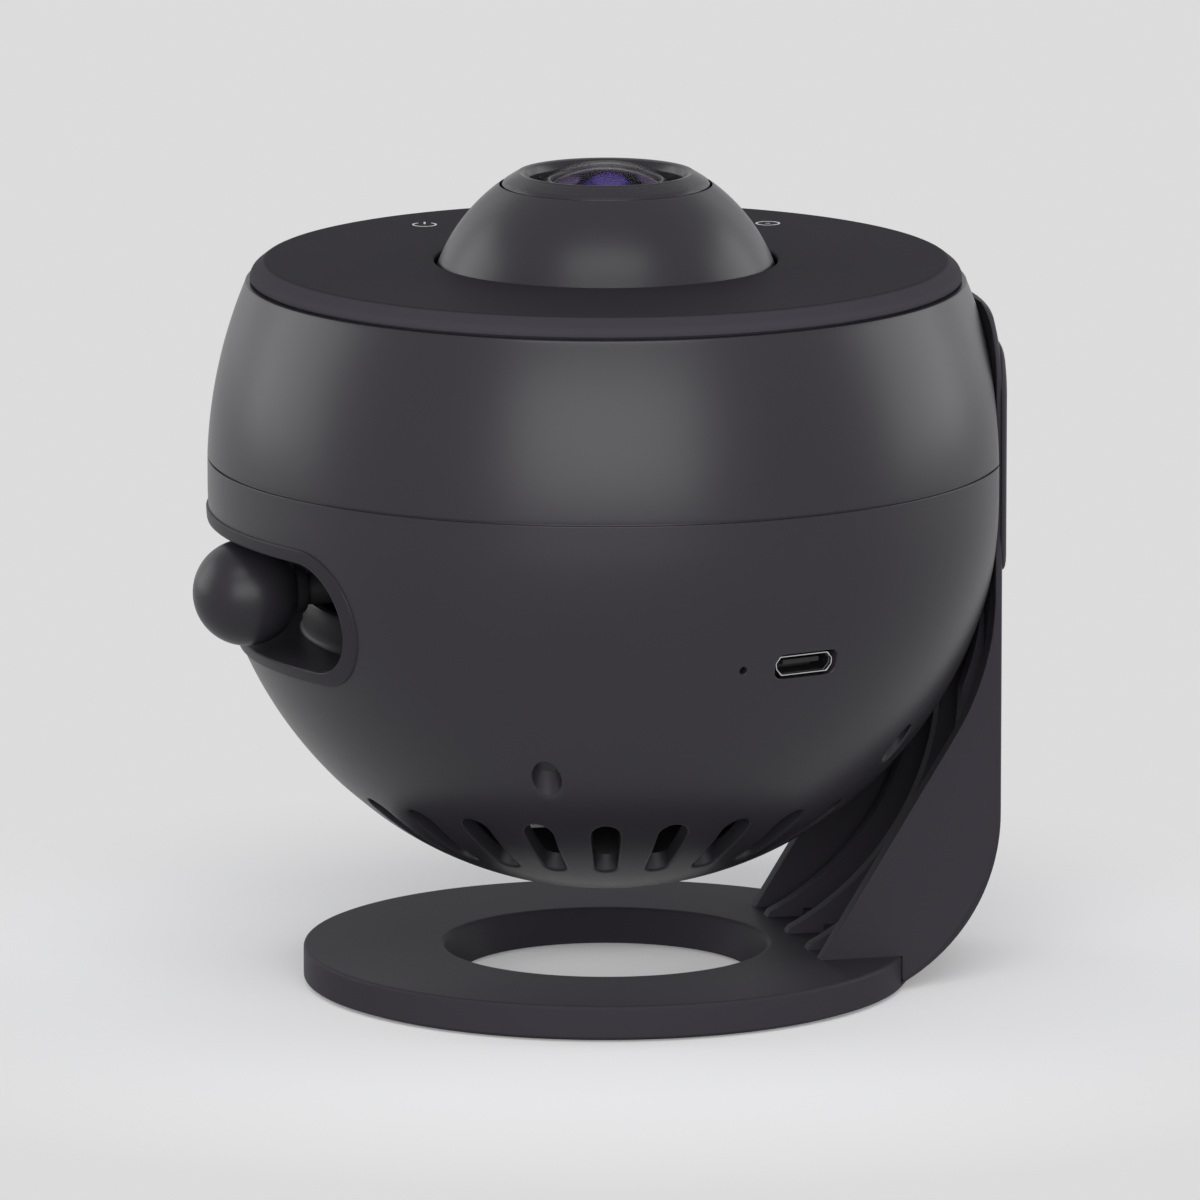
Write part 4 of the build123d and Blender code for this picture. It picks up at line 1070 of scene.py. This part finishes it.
class PROJECTOR_OT_arm(bpy.types.Operator):
    """Arm: a channel of curved skin and two side walls with ribs, closed towards its top"""

    bl_idname = "projector.arm"
    bl_label = "Arm"

    def execute(self, context):
        edge = context.scene.projector_stand.edge / MM
        low = HEEL_Z - np.sqrt(HEEL_R ** 2 - (NOTCH_R - ARM_R + HEEL_R) ** 2)
        under = low + (BASE_H - low) * np.linspace(0, 1, 7) ** 1.3
        heel = HEEL_Z - HEEL_R * np.cos(np.linspace(0, math.pi / 2, 44))
        heel = heel[(heel > BASE_H + 0.05) & (heel < HEEL_Z)]
        shaft = np.linspace(HEEL_Z, ARM_TOP - CORNER_R, 60)
        top = ARM_TOP - 0.1 - (CORNER_R - 0.1) * (1 - np.sin(np.linspace(0, math.pi / 2, 40)))
        steps = [BASE_H + 0.001, FOOT_FLOOR - 0.01, FOOT_FLOOR + 0.01, ROOM_TOP - 0.01, ROOM_TOP + 0.01]
        z = np.unique(np.concatenate([under, heel, shaft, top, steps]))
        arm = build_bars("arm_body", [self.channel(z, edge)])
        place(arm, "stand", finish_named("stand"), "stand_arm")
        ribs = build_bars("arm_ribs", [self.rib(y) for y in RIB_Y])
        place(ribs, "stand", finish_named("stand"))
        plate = self.cover(context.scene.projector_stand.cover_rise / MM)
        place(plate, "stand", finish_named("stand"), "hinge_cover")
        return {"FINISHED"}

    def channel(self, z, edge):
        """Rows of closed sections at heights z: across the skin at its radius, round each side
        wall to the inner edge, and back through the channel between the walls."""
        half, front = arm_half(z), arm_front(z)
        notch = z < BASE_H + 0.0005
        lateral = np.linspace(-1, 1, 41)
        y = half[:, None] * lateral
        r = arm_outer(z)[:, None]
        x = np.sqrt(np.maximum(r ** 2 - y ** 2, 0))
        rim = np.sqrt(NOTCH_R ** 2 - y ** 2)
        inner_y = np.minimum(ARM_HALF - ARM_SKIN, half * 0.999)
        open_here = (z > BASE_H) & (z < ROOM_TOP)
        face = np.where(notch[:, None], rim, front[:, None])
        x = np.maximum(x, face + 0.02)
        # softened outer edges: over its last stretch the skin drops back by a quarter round
        near = np.clip((np.abs(y) - (half[:, None] - edge)) / edge, 0, 1)
        drop = edge * (1 - np.sqrt(1 - near ** 2))
        x = np.maximum(x - drop, face + 0.01)
        skin = np.stack([x, y, np.broadcast_to(z[:, None], x.shape)], -1)
        deep = arm_outer(z, ARM_SKIN)[:, None] ** 2 - (inner_y[:, None] * lateral) ** 2
        deep = np.sqrt(np.maximum(deep, 0))
        deep = np.where((z < FOOT_FLOOR)[:, None], FOOT_FRONT, deep)
        back_y = inner_y[:, None] * lateral[::-1]
        back_x = np.where(open_here[:, None], np.maximum(deep[:, ::-1], face), np.where(
            notch[:, None], np.sqrt(NOTCH_R ** 2 - back_y ** 2), front[:, None]))
        back = np.stack([back_x, back_y, np.broadcast_to(z[:, None], back_x.shape)], -1)

        def edge_point(y_value, lift):
            """Row of points on a side wall's inner edge, lifted off it towards the skin."""
            flat = np.where(notch, np.sqrt(NOTCH_R ** 2 - y_value ** 2), front)
            return np.stack([flat + lift, y_value, z], -1)[:, None]

        soft = 0.18
        steps = [(half, soft), (half - soft * 0.3, soft * 0.3), (half - soft, 0)]
        steps += [(inner_y + soft, 0), (inner_y + soft * 0.3, soft * 0.3), (inner_y, soft)]
        right = [edge_point(y_value, lift) for y_value, lift in steps]
        left = [edge_point(-y_value, lift) for y_value, lift in reversed(steps)]
        return np.concatenate([skin] + right + [back] + left, 1)

    def rib(self, y0):
        """Rib: from its curved free edge to just inside the skin, at each height."""
        z = np.linspace(BASE_H, ROOM_TOP, 70)
        free = RIB_X + np.sqrt(RIB_R ** 2 - np.minimum(z - RIB_Z, 0) ** 2)
        x0 = np.maximum(free, arm_front(z))
        x1 = np.sqrt(arm_outer(z, ARM_SKIN - 0.3) ** 2 - y0 ** 2)
        x0 = np.minimum(x0, x1 - 0.05)
        h, soft = RIB_T / 2, 0.2
        section = [(x0 + soft, -h), (x0, -h + soft), (x0, h - soft), (x0 + soft, h), (x1, h), (x1, -h)]
        return np.stack([np.stack([x, np.full(len(z), y0 + y), z], -1) for x, y in section], 1)

    def cover(self, rise):
        """Plate on the arm's outside: rays from its centre to a soft rectangle, laid on the
        arm's cylinder, its edge rolled down."""
        mid = (PLATE_LOW + PLATE_HIGH) / 2
        ways = np.linspace(0, TURN, 160, endpoint=False)
        ways = np.stack([np.cos(ways), np.sin(ways)], -1)
        outline = plate_distance(ARM_HALF - 0.6, (PLATE_HIGH - PLATE_LOW) / 2, PLATE_CORNER)
        hole, rows = Hole(0.0, mid, outline, True), []
        for k in np.linspace(0.02, 1, 12):
            rows.append((ways * (hole.reach(ways, -PLATE_ROLL) * k)[:, None], rise))
        for t in np.linspace(0, math.pi / 2, 5)[1:]:
            back = PLATE_ROLL * (1 - math.sin(t))
            rows.append((ways * hole.reach(ways, -back)[:, None], rise * (0.2 + 0.8 * math.cos(t))))
        rows.append((ways * hole.reach(ways, 0.0)[:, None], 0.02))
        rows.append((ways * (hole.reach(ways, 0.0) * 0.02)[:, None], 0.02))

        def lay(uv, lift):
            """Points of the arm's outside: x is the root of the radius squared less y squared."""
            z = mid + uv[:, 1]
            r = arm_outer(z) + lift
            return np.stack([np.sqrt(r ** 2 - uv[:, 0] ** 2), uv[:, 0], z], -1)

        grid = np.stack([lay(*row) for row in rows])
        return build_bars("hinge_plate", [grid])


# ---------------------------------------------------------------- carried-over nodes
class PROJECTOR_OT_hardware(bpy.types.Operator):
    """Finishes for the solids that show as they are: screws, boards, gears and inner parts"""

    bl_idname = "projector.hardware"
    bl_label = "Hardware finishes"

    def execute(self, context):
        looks = {
            "steel": [
                "arm_screws", "pivot_shaft", "pivot_screws", "spring_washer", "pivot_nut", "hub_screws",
                "guide_screws", "board_screws", "lamp_screws", "shell_screws", "lever_screws", "motor",
            ],
            "pale": [
                "friction_washer", "hub_plate", "cam_retainer", "led_module", "cam_ring", "disc_carrier",
            ],
            "inner": ["guide_tube", "lamp_housing", "lens_barrel", "lever_arm"],
            "board": ["touch_board", "main_board"],
            "aluminium": ["heat_sink"],
            "brass": ["cam_pins", "motor_pinion"],
            "clear": ["condenser_lens", "rear_lens"],
            "film": ["film_disc"],
        }
        for look, names in looks.items():
            for name in names:
                data = NODES[name].data
                data.materials.clear()
                data.materials.append(finish_named(look))
        return {"FINISHED"}


# ---------------------------------------------------------------- stage
class PROJECTOR_OT_stage(bpy.types.Operator):
    """Pale floor, soft lights and the camera"""

    bl_idname = "projector.stage"
    bl_label = "Stage"

    def execute(self, context):
        scene = context.scene
        scene.view_settings.view_transform = "Standard"
        corners = np.array([(-1, -1, 0), (1, -1, 0), (1, 1, 0), (-1, 1, 0)]) * FLOOR_HALF / MM
        floor = build("floor", corners, [[0, 1, 2, 3]])
        floor.data.materials.append(self.floor_finish(tuple(scene.projector_finishes.floor)))
        self.surround(tuple(scene.projector_finishes.floor))
        for name, azimuth, elevation, distance, size, power in LAMPS:
            direction = facing(math.radians(azimuth) + FRONT_TURN, math.radians(elevation))
            self.lamp(name, direction, distance, size, power)
        left = Vector((-math.cos(FRONT_TURN), -math.sin(FRONT_TURN), 0))
        data = bpy.data.cameras.new("camera")
        data.lens, data.sensor_width = CAMERA_LENS, SENSOR
        data.clip_start, data.clip_end = 0.01, 100.0
        camera = bpy.data.objects.new("camera", data)
        scene.collection.objects.link(camera)
        aim = Vector((0, 0, AIM_HEIGHT)) + left * AIM_LEFT
        camera.location = aim + facing(FRONT_TURN, CAMERA_RISE) * CAMERA_AWAY
        camera.rotation_euler = (math.pi / 2 - CAMERA_RISE, 0, FRONT_TURN)
        scene.camera = camera
        return {"FINISHED"}

    def floor_finish(self, colour):
        """Pale floor. To the eye, to gloss and to glass it is part its own light and part lit,
        so it is even and keeps the object's shadow; other light meets a darker floor."""
        material, start, at, seen = shader("floor_finish", Roughness=1.0, Specular_IOR_Level=0.0)
        away = start.node("ShaderNodeVectorMath", {"operation": "LENGTH"}, {0: at}).out("Value")
        near = start.clamped((FLOOR_NEAR - away) * FLOOR_FADE)
        grain = start.noise(at, 3.0, 2.0)
        c = np.array(colour) * FLOOR_LIT
        feed(seen, Base_Color=tint(start, grain, tuple(c * 0.99), tuple(c * 1.01)))
        seen.inputs["Emission Color"].default_value = (*colour, 1)
        seen.inputs["Emission Strength"].default_value = 1 - FLOOR_LIT * FLOOR_LIGHT
        even = start.node("ShaderNodeEmission", {}, {"Color": (*colour, 1), "Strength": 1.0})
        dark = start.node("ShaderNodeBsdfDiffuse", {}, {"Color": (*FLOOR_BOUNCE, 1)})
        shaded = Tap(start.tree, seen.outputs[0])
        lit = start.node("ShaderNodeMixShader", {}, {0: near, 1: even, 2: shaded})
        both = start.node("ShaderNodeMixShader", {}, {0: self.seen_rays(start), 1: dark, 2: lit})
        start.tree.links.new(both.socket, start.tree.nodes["Material Output"].inputs["Surface"])
        return material

    def seen_rays(self, start):
        """1 for rays of the camera, of gloss and of glass, 0 for the rest."""
        path = start.node("ShaderNodeLightPath")
        rays = path.out("Is Camera Ray") + path.out("Is Glossy Ray") + path.out("Is Transmission Ray")
        return start.clamped(rays)

    def surround(self, colour):
        """World: the floor's colour to the eye, gloss and glass, an even light to all else."""
        world = bpy.data.worlds.new("studio")
        bpy.context.scene.world = world
        world.use_nodes = True
        start = Tap(world.node_tree)
        seen = start.node("ShaderNodeBackground", {}, {"Color": (*colour, 1), "Strength": 1.0})
        light = start.node("ShaderNodeBackground", {}, {"Color": (*WORLD_TINT, 1), "Strength": WORLD_LIGHT})
        both = start.node("ShaderNodeMixShader", {}, {0: self.seen_rays(start), 1: light, 2: seen})
        start.tree.links.new(both.socket, start.tree.nodes["World Output"].inputs["Surface"])

    def lamp(self, name, direction, distance, size, power):
        """Soft box that faces the object from a direction."""
        data = bpy.data.lights.new(name, "AREA")
        data.shape, data.size, data.size_y, data.energy = "RECTANGLE", size[0], size[1], power
        lamp = bpy.data.objects.new(name, data)
        bpy.context.scene.collection.objects.link(lamp)
        lamp.location = direction * distance + Vector((0, 0, LAMP_AIM_HEIGHT))
        lamp.rotation_euler = (-direction).to_track_quat("-Z", "Y").to_euler()


OPERATORS = (
    PROJECTOR_OT_stage,
    PROJECTOR_OT_bowl,
    PROJECTOR_OT_crown,
    PROJECTOR_OT_cover,
    PROJECTOR_OT_inlet,
    PROJECTOR_OT_lens,
    PROJECTOR_OT_lever,
    PROJECTOR_OT_base,
    PROJECTOR_OT_arm,
    PROJECTOR_OT_hardware,
)


class PROJECTOR_PT_panel(bpy.types.Panel):
    """Buttons that make the pieces, in the sidebar"""

    bl_idname = "PROJECTOR_PT_panel"
    bl_label = "Star projector"
    bl_space_type = "VIEW_3D"
    bl_region_type = "UI"
    bl_category = "Projector"

    def draw(self, context):
        for operator in OPERATORS:
            self.layout.operator(operator.bl_idname)


GROUPS = {"projector_head": HeadSizes, "projector_stand": StandSizes, "projector_finishes": Finishes}
CLASSES = (*GROUPS.values(), *OPERATORS, PROJECTOR_PT_panel)


def register():
    """Registers the classes and hangs each group of settings on the scene."""
    for cls in CLASSES:
        bpy.utils.register_class(cls)
    for name, group in GROUPS.items():
        setattr(bpy.types.Scene, name, PointerProperty(type=group))


def unregister():
    """Takes the settings and the classes away again."""
    for name in GROUPS:
        delattr(bpy.types.Scene, name)
    for cls in reversed(CLASSES):
        bpy.utils.unregister_class(cls)


def main():
    """Makes every piece and the stage."""
    register()
    for operator in OPERATORS:
        group, _, name = operator.bl_idname.partition(".")
        getattr(getattr(bpy.ops, group), name)()


if __name__ == "__main__":
    main()
